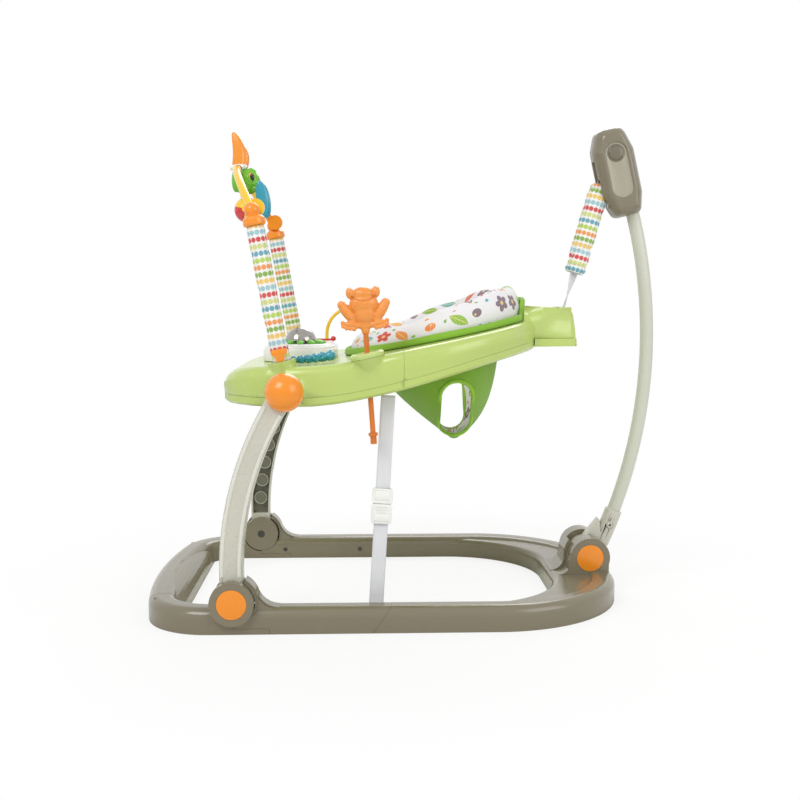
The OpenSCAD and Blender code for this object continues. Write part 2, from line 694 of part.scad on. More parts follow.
// Distance from the seat's middle to the tray's edge, in a direction of the plan
function tray_reach(a) =
    let(e = tray_ring_x - seat_x, ring = e * cos(a) + sqrt(tray_ring_r * tray_ring_r - pow(e * sin(a), 2)),
        s = max(abs(sin(a)), 0.0001), c = min(cos(a), -0.0001),
        box = min(tray_half_w / s, (tray_front_x - seat_x) / c),
        hit = [seat_x + box * cos(a), box * abs(sin(a))],
        k = [tray_front_x + tray_corner_r - seat_x, tray_half_w - tray_corner_r],
        u = [cos(a), abs(sin(a))], d = k * u, turn = tray_corner_r * tray_corner_r - k * k + d * d,
        cut = hit[0] < tray_front_x + tray_corner_r && hit[1] > tray_half_w - tray_corner_r)
    cos(a) < 0 && hit[0] < tray_ring_x ? max(ring, cut ? d + sqrt(max(turn, 0)) : box) : ring;
function tray_point(a, r, z) = [seat_x + r * cos(a), r * sin(a), z];
function top_at(a, r, drop = 0) = tray_point(a, r, tray_top(seat_x + r * cos(a)) - drop);
function low_at(a, r, up = 0) = tray_point(a, r, tray_bottom(seat_x + r * cos(a)) + up);
deck_steps = [0:0.125:1];
function upper_ring(a) =
    let(r = tray_reach(a), e = tray_edge, w = tray_wall, up = lower_lip + seat_gap,
        skirt = tray_wall + skirt_gap)
    concat(
        [low_at(a, r - 1.5, up), low_at(a, r, up + 14), top_at(a, r, e), top_at(a, r - 0.29 * e, 0.29 * e)],
        [for (t = deck_steps) top_at(a, mix(r - e, seat_r + 5, t))],
        [top_at(a, seat_r, 5), low_at(a, seat_r, skirt)],
        [low_at(a, seat_r + w, skirt), top_at(a, seat_r + w, 7)],
        [for (t = deck_steps) top_at(a, mix(seat_r + 7, r - e, t), w)],
        [top_at(a, r - w * 0.7 - 0.29 * e, w * 0.7 + 0.29 * e), top_at(a, r - w, e),
            low_at(a, r - w, up + 14), low_at(a, r - w - 1.5, up)]);
function lower_ring(a) =
    let(r = tray_reach(a) - 1.5, w = tray_wall, t = lower_lip, i = seat_r + w + 0.2)
    concat([low_at(a, r - 4), low_at(a, r, 4), low_at(a, r, t), low_at(a, r - w, t),
        low_at(a, r - w, w + 1)],
        [for (k = [0, 0.33, 0.67, 1]) low_at(a, mix(r - w - 3, i, k), w)],
        [for (k = [1, 0.67, 0.33, 0]) low_at(a, mix(r - w - 4, i, k))]);
// The ring runs clockwise so that its skin faces outwards.
module tray_band(upper) band([for (i = [0:stations - 1]) let(a = -(i + 0.5) * 360 / stations)
    upper ? upper_ring(a) : lower_ring(a)]);
module ahead_of_seam() translate([tray_seam - seat_gap / 2 - beyond, -beyond, 0])
    cube([beyond, 2 * beyond, 2 * beyond]);
module behind_seam() translate([tray_seam + seat_gap / 2, -beyond, 0])
    cube([beyond, 2 * beyond, 2 * beyond]);

// Tail, as a block with rounded corners, grown or shrunk by its wall
module tail_block(grow, z0, z1) intersection() {
    slab(-beyond, beyond) polygon(rounded([[tail_root - 40, z0], [tail_end + grow, z0],
        [tail_end - 10 + grow, z1 - 6 + grow],
        [tail_root - 40, z1 + 4 + grow]], [1, 1, 16, 1]));
    translate([0, 0, z0 - 20]) linear_extrude(z1 - z0 + 60)
        polygon(rounded([[tail_root, -tail_root_half_w - grow],
        [tail_end + grow, -tail_half_w - grow], [tail_end + grow, tail_half_w + grow],
            [tail_root, tail_root_half_w + grow]],
        [1, 16, 16, 1]));
}
// Space round the padded ring that the tail stays out of
module tail_neck(grow) translate([seat_x, 0, 0])
    cylinder(r = pad_r + neck_gap + grow, h = 2 * beyond, $fn = 128);
module toy_collar(y) along(toy_post_foot - 8 * toy_dir, toy_dir, y) 
    cylinder(r1 = toy_sleeve_r + collar_wall, r2 = toy_sleeve_r + collar_wall + collar_flare, h = collar_h);
module tray_front() color(leaf_green) placed() difference() {
    union() {
        intersection() {
            tray_band(true);
            ahead_of_seam();
        }
        both_sides() {
            rod_y([hub_dx, hub_z], hub_pad_r, -tray_half_w - tray_gap + touch_gap, -tray_half_w + 2);
            intersection() {
                rod_y([hub_dx, hub_z], hub_boss_r, -tray_half_w + 1, -tray_half_w + 20);
                translate([0, -beyond, tray_bottom(hub_dx) + lower_lip + 1])
                    cube([beyond, 2 * beyond, beyond]);
            }
            toy_collar(-toy_post_y);
        }
        // Bowl of the frog's cup, which bulges out of the wall
        cup_frame() translate([0, 0, -bowl_depth])
            cylinder(r1 = cup_hole_r - 1, r2 = cup_r + 1, h = bowl_depth + 0.5);
    }
    both_sides() {
        rod_y([hub_dx, hub_z], axle_r + run_gap, -tray_half_w - 20, -tray_half_w + 22);
        along(toy_post_foot - 3 * toy_dir, toy_dir, -toy_post_y) {
            cylinder(r = toy_post_r + seat_gap, h = 60);
            translate([0, 0, 9]) cylinder(r = toy_sleeve_r + seat_gap, h = 60);
        }
    }
    cup_frame() translate([0, 0, -bowl_depth - 10]) cylinder(r = cup_hole_r, h = bowl_depth + 30);
}
module tray_rear() color(leaf_green) placed() difference() {
    tail_up = tail_floor + lower_lip + seat_gap;
    union() {
        intersection() {
            tray_band(true);
            behind_seam();
        }
        difference() {
            tail_block(0, tail_up, tail_floor + tail_h);
            difference() {
                tail_block(-tray_wall, tail_up - 5, tail_floor + tail_h);
                tail_neck(tray_wall);
            }
            tail_neck(0);
        }
        both_sides() slab(-tail_half_w + 6, -tail_slot_half - 4) translate(tail_pin) {
            circle(tail_pin_r + 4);
            translate([-tail_pin_r - 4, 0]) square([2 * tail_pin_r + 8, 14]);
        }
    }
    translate([tail_pin[0] - 13, -tail_slot_half, tail_pin[1] - 8]) cube([26, 2 * tail_slot_half, 40]);
    rod_y(tail_pin, tail_pin_r + run_gap, -tail_half_w + 4, tail_half_w - 4);
}
module tray_lower_front() color(leaf_green) placed() difference() {
    intersection() {
        tray_band(false);
        ahead_of_seam();
    }
    for (x = [-frog_hole_r, 0, frog_hole_r])
        translate([frog_x + tray_wall_h * tan(frog_lean) + x, frog_p[1], tray_low - 50])
        cylinder(r = frog_hole_r, h = 200);
    both_sides() rod_y([hub_dx, hub_z], hub_pad_r + seat_gap, -tray_half_w - 20, -tray_half_w + 4);
}
module tray_lower_rear() color(leaf_green) placed() {
    intersection() {
        tray_band(false);
        behind_seam();
    }
    tail_pan(1.5, tray_wall - 0.6, 2 * tray_wall, tray_ring_r - 1.5 - tray_wall / 2);
    tail_pan(2, lower_lip, tray_wall, tray_ring_r + seat_gap);
}
// Slice of the tail's pan below a height, outside a circle round the ring's middle
module tail_pan(grow, h, floor_t, clear_r) difference() {
    intersection() {
        tail_block(grow, tail_floor, tail_floor + tail_h);
        translate([tail_root - 50, -beyond, 0]) cube([beyond, 2 * beyond, tail_floor + h]);
    }
    tail_block(-tray_wall, tail_floor + floor_t, tail_floor + tail_h + 20);
    translate([tray_ring_x, 0, 0]) cylinder(r = clear_r, h = 2 * beyond, $fn = 180);
}
module tail_pin_rod() color(steel) placed() rod_y(tail_pin, tail_pin_r, -tail_half_w + 8, tail_half_w - 8);

// Seat

function pad_crown(a) = mix(pad_front_h, pad_rear_h, ramp((1 + cos(a)) / 2));
function pad_ring(a) =
    let(h = pad_crown(a) + 2.5 * cos(8 * a), in = seat_r - 26, out = pad_r, g = deck_gap)
    [for (p = [[0, 0.18], [0.08, 0.55], [0.3, 0.92], [0.55, 1], [0.82, 0.78], [1, 0.35], [0.97, 0],
        [0.5, 0], [0.06, 0]])
        top_at(a, mix(in, out, p[0]), -g - h * p[1])];
module seat_pad() color(white) placed() band([for (i = [0:47]) pad_ring(i * 7.5)]);
function binding_ring(a) = let(r = pad_r + 1, g = deck_gap)
    [for (p = [[0, 0], [0, 12], [4, 17], [8, 13], [9, 4], [8, 0]]) top_at(a, r + p[0], -g - p[1])];
module pad_binding() color(bright_green) placed() band([for (i = [0:47]) binding_ring(i * 7.5)]);

// The sling hangs from the opening: its front runs straight down to a narrow floor behind the seat's middle.
sling_top_r = seat_r - 3;
sling_rows = 9;
function sling_front(t) = seat_x - sling_top_r + 44 * t + 112 * t * t;
function sling_back(t) = seat_x + sling_top_r - 30 * t - 54 * pow(t, 5);
function sling_row(k, inset) =
    let(t = k / sling_rows, lx = (sling_back(t) - sling_front(t)) / 2 - inset,
        cx = (sling_back(t) + sling_front(t)) / 2,
        ly = sling_top_r * (1 - 0.42 * t * t) * sqrt(max(0.06, 1 - pow(t, 6))) - inset,
            fold = 2.2 * t * (1 - t) * 4)
    [for (i = [0:39]) let(a = -i * 9, x = cx + (lx + fold * cos(6 * a)) * cos(a),
        y = (ly + fold * cos(6 * a)) * sin(a))
        [x, y, mix(tray_top(x), tray_top(seat_x) - sling_depth, t) + (k == 0 ? 2 * inset : inset * t)]];
module sling_skin(inset) loft([for (k = [0:sling_rows]) sling_row(k, inset)]);
module seat_sling() color(bright_green) placed() difference() {
    sling_skin(0);
    sling_skin(sling_t);
    leg_hole();
}
leg_hole_r = 28;
leg_hole_h = 45;
leg_hole_at = [33, 64];
module leg_hole() slab(-beyond, beyond) translate([seat_x, tray_top(seat_x) - sling_depth] + leg_hole_at) {
    for (s = [-1, 1]) circle_at([0, s * leg_hole_h / 2], leg_hole_r);
    translate([-leg_hole_r, -leg_hole_h / 2]) square([2 * leg_hole_r, leg_hole_h]);
}

// Toys on the tray

module toy_post(right) color(sleeve_white) placed() sided(right)
    along(toy_post_foot - 2.5 * toy_dir, toy_dir, -toy_post_y)
        cylinder(r = toy_post_r, h = toy_post_len + 2.5);
module toy_post_left() toy_post(false);
module toy_post_right() toy_post(true);

// Gathered sleeve: rows of shallow puffs round a core
function puffs(r, len, rows, depth) = [for (i = [0:rows * 4])
    [r - depth * (0.5 + 0.5 * cos(360 * i / 4)), len * i / (rows * 4)]];
module gathered(r_in, r, len, rows, depth) rotate_extrude()
    polygon(concat([[r_in, 0]], puffs(r, len, rows, depth), [[r_in, len]]));
module post_sleeve(right) color(sleeve_white) placed() sided(right)
    along(toy_post_foot + 7 * toy_dir, toy_dir, -toy_post_y)
        gathered(toy_post_r + 0.2, toy_sleeve_r, toy_post_len - 20, 18, 1.2);
module post_sleeve_left() post_sleeve(false);
module post_sleeve_right() post_sleeve(true);

clip_t = 4;
clip_stem = 15;
clip_arms = 28;
clip_arm_h = 11;
clip_z = collar_h - 8 + touch_gap;
module post_clips() color(orange) placed() both_sides()
    along(toy_post_foot, toy_dir, -toy_post_y - toy_sleeve_r - touch_gap) rotate([90, 0, 0])
        linear_extrude(clip_t) {
        translate([-clip_stem / 2, clip_z]) square([clip_stem, 12]);
        for (s = [-1, 1]) circle_at([s * (clip_arms - clip_arm_h) / 2, clip_z + 16], clip_arm_h / 2);
        translate([-(clip_arms - clip_arm_h) / 2, clip_z + 16 - clip_arm_h / 2])
            square([clip_arms - clip_arm_h, clip_arm_h]);
    }

cap_under = 12.5;
knob_r = 13.5;
knob_z = cap_under + 14;
module post_caps() color(orange) placed() both_sides()
    along(toy_post_foot + (toy_post_len - cap_under) * toy_dir, toy_dir, -toy_post_y) difference() {
        rotate_extrude() polygon(concat([[0, 0], [toy_sleeve_r, 0], [toy_sleeve_r + 1.6, 3],
            [toy_sleeve_r + 1, 12],
            [toy_sleeve_r - 3, 16]], arc_points([0, knob_z], knob_r, -36, 90, 12)));
        translate([0, 0, -1]) cylinder(r = toy_post_r + 0.1, h = cap_under + 1.1);
    }

// The bar is an arc that leans forward with the toys and ends on the caps.
module bar_plane() translate([bar_mid[0], 0, bar_mid[1]]) rotate([0, -bar_lean, 0])
    translate([0, 0, -bar_bend])
    rotate([90, 0, 90]) children();
module toy_bar() color(yellow) placed() difference() {
    union() {
        bar_plane() rotate([0, 0, 90 - bar_turn]) rotate_extrude(angle = 2 * bar_turn, $fn = 128)
            translate([bar_bend, 0])
            circle(toy_bar_r, $fn = 32);
        both_sides() {
            yoke_foot = ball_c;
            yoke_head = bar_mid - [2, 4];
            along(yoke_foot, yoke_head - yoke_foot, -yoke_half)
                cylinder(r = yoke_r, h = norm(yoke_head - yoke_foot));
            rod_y(yoke_foot, yoke_r + 3, -yoke_half - 3, -yoke_half + 3);
        }
        rod_y(ball_c, 2.5, -yoke_half, yoke_half);
        both_sides() rod_y(bar_foot + boss_shift, bar_boss_r, -toy_post_y + knob_r + 1,
            -toy_post_y + knob_r + 9);
    }
    both_sides() along(bar_foot, toy_dir, -toy_post_y) sphere(knob_r + touch_gap);
}
module spinner_ball() color(red) placed() difference() {
    translate([ball_c[0], 0, ball_c[1]]) sphere(ball_r);
    rod_y(ball_c, 2.5 + run_gap, -ball_r, ball_r);
}

head_r = 17;
head_at = [0, 0, -6];
breast_r = 20;
breast_at = [15, 0, -24];
bird_lean = 8;
module bird_frame() translate([bar_mid[0], 0, bar_mid[1]]) rotate([0, -bird_lean, 0]) children();
module egg(r, up, down) rotate_extrude() intersection() {
    union() {
        circle(r);
        polygon([[0, 0], [r * 0.98, 2], [r * 0.55, up], [0, up + 4]]);
        polygon([[0, 0], [r * 0.98, -2], [r * 0.5, -down], [0, -down - 3]]);
    }
    translate([0, -beyond]) square([beyond, 2 * beyond]);
}
module bird_form(grow) {
    translate(breast_at) sphere(breast_r + grow);
    translate(head_at) sphere(head_r + grow);
}
module toucan_body() color("#62ad0c") placed() difference() {
    bird_frame() bird_form(0);
    bird_bore();
}
module bird_bore() rod_y(bar_mid, toy_bar_r + 1.2, -60, 60);
beak_r = 13.8;
beak_z = 4;
beak_len = 66;
module toucan_beak() color(orange) placed() difference() {
    bird_frame() rotate_extrude() polygon(concat([[0, beak_z]],
        [for (i = [0:8]) [beak_r * sqrt(1 - pow(i / 8.2, 2)), beak_z + (beak_len - 2) * i / 8]],
        [[0, beak_z + beak_len]]));
    bird_frame() bird_form(touch_gap);
    bird_bore();
}
// The wings hang outside the ball, each on a peg in the breast.
wing_at = [38, -62];
wing_y = 25.5;
wing_t = 5;
module toucan_wings() color("#1f8f9d") placed() bird_frame() both_sides() difference() {
    union() {
        slab(-wing_y - wing_t, -wing_y) translate(wing_at) intersection() {
            circle_at([40, 0], 53);
            circle_at([-40, 0], 53);
        }
        rod_y([29, -38], 4, -wing_y - 1, -8);
    }
    bird_form(touch_gap);
}

module cup_frame() translate(frog_p) rotate([0, -frog_deck_tilt, 0]) children();
module frog_cup() color("#d3e39a") placed() cup_frame() difference() {
    rotate_extrude() polygon([[0, -cup_depth], [cup_hole_r - 3, -cup_depth],
        [cup_hole_r - seat_gap, -cup_depth + 4],
        [cup_hole_r - seat_gap, cup_lift], [cup_r, cup_lift], [cup_r + 1, cup_lift + 6],
            [cup_r - 2, cup_lift + 9],
        [cup_r - 5, cup_lift + 6], [pivot_r + 6, cup_pivot + 1], [0, cup_pivot + 1]]);
    translate([0, 0, cup_pivot]) {
        sphere(pivot_r + touch_gap);
        cylinder(r = pivot_r + touch_gap, h = 20);
        translate([0, 0, -30]) cylinder(r1 = pivot_r + 9, r2 = pivot_r - 1.5, h = 30);
    }
}
module frog_frame() cup_frame() translate([0, 0, cup_pivot]) rotate([0, frog_deck_tilt - frog_lean, 0])
    children();
module frog_stem() color("#d57a26") placed() frog_frame() {
    sphere(pivot_r);
    translate([0, 0, -stem_down]) cylinder(r = stem_r, h = stem_down + stem_up);
    translate([0, 0, -stem_down + 14]) cylinder(r = stem_r + 3.5, h = 5);
    translate([0, 0, -stem_down]) cylinder(r = stem_r + 1, h = 16);
}
head_t = 14;
round_step = 0.3;
leg_foot = [16, 14];
leg_knee = [37, 45];
module frog_limb(p, q, r, s) translate([s * p[0], 0, p[1]])
    rotate([0, s * atan2(q[0] - p[0], q[1] - p[1]), 0]) {
    cylinder(r = r, h = norm(q - p));
    sphere(r + round_step);
    translate([0, 0, norm(q - p)]) sphere(r + round_step);
}
module frog_toy() color("#ef7f28") placed() frog_frame() difference() {
    translate([0, 0, stem_up - 12]) {
        translate([0, 0, 36]) egg(23, 18, 25);
        translate([-10, 0, 57]) rotate([0, 90, 0]) cylinder(r = head_t, h = 20);
        translate([0, 0, -9]) cylinder(r1 = stem_r + 1.5, r2 = 13, h = 20);
        for (s = [-1, 1]) {
            translate([s * 10, 0, 57]) sphere(head_t + round_step);
            translate([s * 24, 0, 62]) sphere(9);
            frog_limb(leg_foot, leg_knee, 7.5, s);
            frog_limb([13, 9], [36, 6], 5, s);
        }
    }
    translate([0, 0, -30]) cylinder(r = stem_r + 0.02, h = stem_up + 30);
}

// Console

module swoop_over(z1, gap) slab(-beyond, beyond) polygon(concat(
    [for (i = [0:12]) let(x = console_c[0] - console_r - 8 + i * (console_r + 8) / 6)
        [x, tray_top(x) + gap]],
    [[console_c[0] + console_r + 8, z1], [console_c[0] - console_r - 8, z1]]));
module console_plan(inset) {
    for (s = [-1, 1]) circle_at([console_c[0], s * console_half], console_r - inset);
    translate([console_c[0] - console_r + inset, -console_half])
        square([2 * (console_r - inset), 2 * console_half]);
}
module console_base() color(white) placed() intersection() {
    swoop_over(console_top, deck_gap);
    union() {
        linear_extrude(console_top - 8) console_plan(0);
        linear_extrude(console_top - 3) console_plan(2.5);
        linear_extrude(console_top) console_plan(7);
    }
}
module leaf_collar() color("#5bb51e") placed() translate([dome_at[0], dome_at[1], console_top + touch_gap])
    linear_extrude(collar_leaf_t) difference() {
        union() {
            circle(collar_leaf_r - 8);
            for (i = [0:7]) rotate(i * 45) circle_at([collar_leaf_r - 14, 0], 14);
        }
        circle(dome_r - 9);
    }
module console_dome() color(smoke) placed() difference() {
    dome_z = console_top + collar_leaf_t + 2 * touch_gap;
    translate([dome_at[0], dome_at[1], dome_z - 4]) sphere(dome_r);
    translate([dome_at[0] - 50, dome_at[1] - 50, dome_z - 100]) cube(100);
}
module bead_worm() color(teal) placed() for (i = [0:beads - 1])
    let(x = bead_row[0] + i * bead_step, r = bead_r + 0.5 * i)
    translate([x, bead_row[1] + 3 * sin(90 * i), tray_top(x) + r + 1]) rotate([0, 0, 90])
        sphere(r, $fn = 48);
module console_lever() color(red) placed() translate([console_c[0] + 26, 34, console_top + touch_gap]) {
    cylinder(r = 7, h = 5);
    translate([0, -3, 2]) cube([34, 6, 4]);
    translate([34, 0, 6]) sphere(5);
}
module bead_arch() color(yellow) placed() difference() {
    foot_z = tray_top(arch_c[0]) + 4;
    leg_z = 30;
    translate([arch_c[0], arch_c[1], 0]) rotate([0, 0, arch_turn]) {
        translate([0, 0, foot_z + leg_z]) rotate([90, 0, 0]) rotate_extrude(angle = 180, $fn = 96)
            translate([arch_r, 0])
            circle(arch_rod_r, $fn = 24);
        for (s = [-1, 1]) translate([s * arch_r, 0, foot_z - 20]) {
            cylinder(r = arch_rod_r, h = leg_z + 20);
            cylinder(r = 7, h = 24);
        }
    }
    swoop_under(deck_gap);
}
module swoop_under(gap) slab(-beyond, beyond) polygon(concat(
    [for (i = [0:24]) let(x = 60 + i * 10) [x, tray_top(x) + gap]], [[300, 300], [60, 300]]));

// Rear post

module tube_sweep(z0, z1, r) side_arc(tube_c, tube_bend, tube_turn(z0), tube_turn(z1)) circle(r, $fn = 48);
module post_socket() color(pale_grey) placed() difference() {
    rear_hinge = [hinge_span, rear_hinge_z];
    top = tube_at(socket_top);
    low = tube_at(tube_foot - 12);
    union() {
        rod_y(rear_hinge, knuckle_r - 6, -rear_slot_half + 1, rear_slot_half - 1);
        tube_sweep(tube_foot - 12, socket_top, tube_r + socket_wall);
        slab(-tube_r - 2, tube_r + 2) polygon([rear_hinge + [-8, 24], low + [-4, 50], low + [4, 0],
            rear_hinge + [20, -18]]);
        slab(-5, 5) polygon([rear_hinge + [-22, 14], tube_at(130) - [tube_r + 1, 0], tube_at(112),
            rear_hinge]);
        rod_y(tube_at(124), 6, -tube_r - socket_wall - 2, tube_r + socket_wall + 2);
    }
    tube_sweep(tube_foot, socket_top + 10, tube_r + run_gap);
    rod_y(rear_hinge, pin_r + run_gap, -rear_hinge_half_w, rear_hinge_half_w);
    rod_y(tube_at(124), 2.5, -40, 40);
}
module rear_tube() color(steel) placed() difference() {
    tube_sweep(tube_foot + touch_gap, tube_top, tube_r);
    tube_sweep(tube_foot - 5, tube_top + 10, tube_r - 1.6);
}

housing_corners = [14, 14, 24, 24, 22, 22, 24, 24];
function housing_ring(inset, z) = let(w = housing_w / 2 - inset, l = housing_len / 2 - inset)
    [for (p = rounded([[-w * 0.55, -l], [w * 0.75, -l], [w, -l * 0.55], [w, l * 0.45], [w * 0.62, l],
        [-w * 0.62, l],
        [-w, l * 0.55], [-w, -l * 0.45]], [for (r = housing_corners) r - 0.7 * inset])) [p[0], p[1], z]];
// Half of the housing as place over its thickness and inset of its outline
housing_steps = [[touch_gap / 2 / housing_half_t, 0], [0.28, 0.5], [0.55, 2.6], [0.76, 6], [0.91, 10.5],
    [1, 15]];
module housing_frame() translate([housing_c[0], 0, housing_c[1]]) rotate([0, -housing_tilt, 0])
    rotate([90, 0, 0]) children();
recess_half = 52;
recess_r = 20;
module housing(right) color(taupe) placed() difference() {
    sided(right) difference() {
        housing_frame() flat_loft([for (p = housing_steps) housing_ring(p[1], p[0] * housing_half_t)]);
        housing_frame() translate([0, 2, housing_half_t - 3]) linear_extrude(10) {
            for (s = [-1, 1]) circle_at([0, s * (recess_half - recess_r)], recess_r);
            translate([-recess_r, -recess_half + recess_r])
                square([2 * recess_r, 2 * (recess_half - recess_r)]);
        }
    }
    tube_sweep(housing_z - housing_len, tube_top + 2, tube_r + 0.1);
    spring_cavity();
    sleeve_mouth();
    rod_y(hanger_pin, hanger_pin_r + run_gap, -housing_half_t + 8, housing_half_t - 8);
}
module housing_left() {
    housing(false);
    color(taupe) placed() housing_frame() translate([0, recess_half - recess_r + 2, housing_half_t - 3.5])
        cylinder(r = recess_r - 7, h = 3);
}
module housing_right() {
    housing(true);
    color(taupe) placed() mirror([0, 1, 0]) housing_frame()
        translate([0, recess_half - recess_r + 2, housing_half_t - 3.5])
        cylinder(r = recess_r - 7, h = 3);
}
// The hook swings forward in this slot.
module spring_cavity() slab(-cavity_half, cavity_half) {
    circle_at(hanger_pin, eye_r + 3);
    polygon([hanger_pin + [-3, eye_r + 3], hanger_pin + [9, -8], hanger_pin + [2, -70],
        hanger_pin + [-90, -70],
        hanger_pin + [-90, eye_r + 3]]);
}
module sleeve_mouth() slab(-coil_r - 6, coil_r + 6)
    polygon([for (p = [[-90, -24], [4, -24], [4, -80], [-90, -80]]) hanger_pin + p]);
module hanger_rod() color(steel) placed()
    rod_y(hanger_pin, hanger_pin_r, -housing_half_t + 9, housing_half_t - 9);

// Bounce spring, drawn down along Z from a pivot and then laid along the spring's line
module spring_frame(p) translate([p[0], 0, p[1]]) rotate([0, spring_lean, 0]) children();
module eye(z, r, bore, t) translate([0, t / 2, z]) rotate([90, 0, 0]) difference() {
    cylinder(r = r, h = t);
    translate([0, 0, -1]) cylinder(r = bore, h = t + 2);
}
module spring_hook() color(steel) placed() spring_frame(hanger_pin) {
    fork_half = eye_t / 2 + 3;
    eye(0, eye_r, hanger_pin_r + run_gap, 2 * fork_half);
    translate([-2, -fork_half, -hook_len + 9]) cube([4, 2 * fork_half, hook_len - 9 - eye_r + 2]);
    for (s = [-1, 1]) translate([-2, s * (fork_half - 1.4) - 1.4, -hook_len - 3]) cube([4, 2.8, 14]);
    translate([0, 0, -hook_len]) rotate([90, 0, 0]) translate([0, 0, -fork_half])
        cylinder(r = 3, h = 2 * fork_half);
}
// One unbroken wire: two closed end turns and the open coil between them
coil_len = sleeve_len - 30;
coil_rings = 8;
function coil_point(t) = let(a = 360 * t)
    [coil_r * cos(a), coil_r * sin(a), -spring_start - 8 - coil_len * t / coil_turns];
function coil_ring(i) = let(p = coil_point(i / coil_rings), q = coil_point((i + 0.05) / coil_rings),
    d = (q - p) / norm(q - p),
    out = [p[0], p[1], 0] / coil_r, up = cross(d, out))
    [for (k = [0:5]) p + wire_r * (cos(60 * k) * out + sin(60 * k) * up)];
coil_gap = coil_len / coil_turns - 2 * wire_r;
module bounce_spring() color(steel) placed() spring_frame(spring_pin) {
    loft([for (i = [0:coil_turns * coil_rings]) coil_ring(i)]);
    translate([0, 0, -spring_start - 9]) cylinder(r = coil_r + wire_r + 0.8, h = 6);
    eye(0, 7, 3.1, eye_t);
    translate([-2.5, -eye_t / 2, -spring_start - 4]) cube([5, eye_t, 14]);
}
// The sleeve is drawn in to a narrow neck where it goes into the housing.
module spring_sleeve() color(sleeve_white) placed() spring_frame(spring_pin)
    translate([0, 0, -spring_start - sleeve_len + 4])
    rotate_extrude() let(core = coil_r + wire_r + 1.5, neck = sleeve_len - 20)
        polygon(concat([[core, 0]], puffs(sleeve_r, neck, 13, 1.6),
            [[core + 2, neck + 8], [core, neck + 9]]));
module spring_strap() color(web_white) placed() spring_frame(spring_pin) {
    translate([-strap_t / 2, -strap_w / 2, -spring_reach + tail_pin_r + 1])
        cube([strap_t, strap_w, spring_reach - strap_start - tail_pin_r]);
    translate([0, 0, -strap_start - 0.5]) cylinder(r = coil_r - wire_r - 1, h = 5);
    eye(-spring_reach, tail_pin_r + 3, tail_pin_r + 0.6, strap_w);
}

// Tether

module tether_frame() translate(tether_foot) rotate([0, 0, atan2(tether_dir[1], tether_dir[0])])
    rotate([0, acos(tether_dir[2]), 0]) rotate([0, 0, -atan2(tether_dir[1], tether_dir[0])]) children();
module web_run(z0, z1) translate([-web_w / 2, -web_t / 2, z0]) cube([web_w, web_t, z1 - z0]);
module tether_web() color(web_white) placed() tether_frame() {
    difference() {
        union() {
            web_run(0, buckle_at - buckle_len / 2 + 8);
            rotate([0, 90, 0]) translate([0, 0, -web_w / 2])
                cylinder(r = anchor_pin_r + web_t + 1.4, h = web_w);
        }
        rotate([0, 90, 0]) translate([0, 0, -50]) cylinder(r = anchor_pin_r + 1.2, h = 100);
    }
    web_run(buckle_at + buckle_len / 2 - 8, tether_len - web_w / 4);
}
module buckle_half(z0, z1, slot_z) difference() {
    translate([0, buckle_t / 2, 0]) rotate([90, 0, 0]) linear_extrude(buckle_t) difference() {
        polygon(rounded([[-buckle_w / 2, z0], [buckle_w / 2, z0], [buckle_w / 2, z1],
            [-buckle_w / 2, z1]], 5));
        translate([-web_w / 2 - 0.5, slot_z - 8.4]) square([web_w + 1, 16.8]);
    }
    translate([-web_w / 2 - touch_gap, -web_t / 2 - touch_gap, slot_z - 14])
        cube([web_w + 2 * touch_gap, web_t + 2 * touch_gap, 28]);
}
buckle_split = buckle_at + 4;
module buckle_socket() color("#eceee8") placed() tether_frame() difference() {
    buckle_half(buckle_at - buckle_len / 2, buckle_split, buckle_at - buckle_len / 2 + 12);
    for (s = [-1, 1]) translate([s * (buckle_w / 2 - 9) - 4.5, -4.5, buckle_split - 7]) cube([9, 9, 20]);
}
module buckle_plug() color("#eceee8") placed() tether_frame() {
    buckle_half(buckle_split + touch_gap, buckle_at + buckle_len / 2, buckle_at + buckle_len / 2 - 12);
    for (s = [-1, 1]) translate([s * (buckle_w / 2 - 9) - 4, -4, buckle_split - 6]) cube([8, 8, 7]);
}

echo(coil_gap = coil_gap);

base_front_bow();
base_rail_left();
base_rail_right();
base_rear_bow();
rear_pedestal();
front_hinge_pins();
rear_hinge_pin();
base_screws();
tether_anchor();
front_leg_left();
front_leg_right();
leg_liner_left();
leg_liner_right();
hub_axles();
hub_caps();
tray_front();
tray_rear();
tray_lower_front();
tray_lower_rear();
tail_pin_rod();
seat_pad();
pad_binding();
seat_sling();
toy_post_left();
toy_post_right();
post_sleeve_left();
post_sleeve_right();
post_clips();
post_caps();
toy_bar();
console_base();
console_dome();
leaf_collar();
bead_worm();
console_lever();
bead_arch();
frog_cup();
frog_stem();
frog_toy();
toucan_body();
toucan_beak();
toucan_wings();
spinner_ball();
post_socket();
rear_tube();
housing_left();
housing_right();
hanger_rod();
spring_hook();
bounce_spring();
spring_sleeve();
spring_strap();
button_front_left();
button_front_right();
button_rear_left();
button_rear_right();
tether_web();
buckle_socket();
buckle_plug();
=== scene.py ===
import json
import math
import random
import bpy
import bmesh
from mathutils import Matrix, Vector, noise
from mathutils.bvhtree import BVHTree


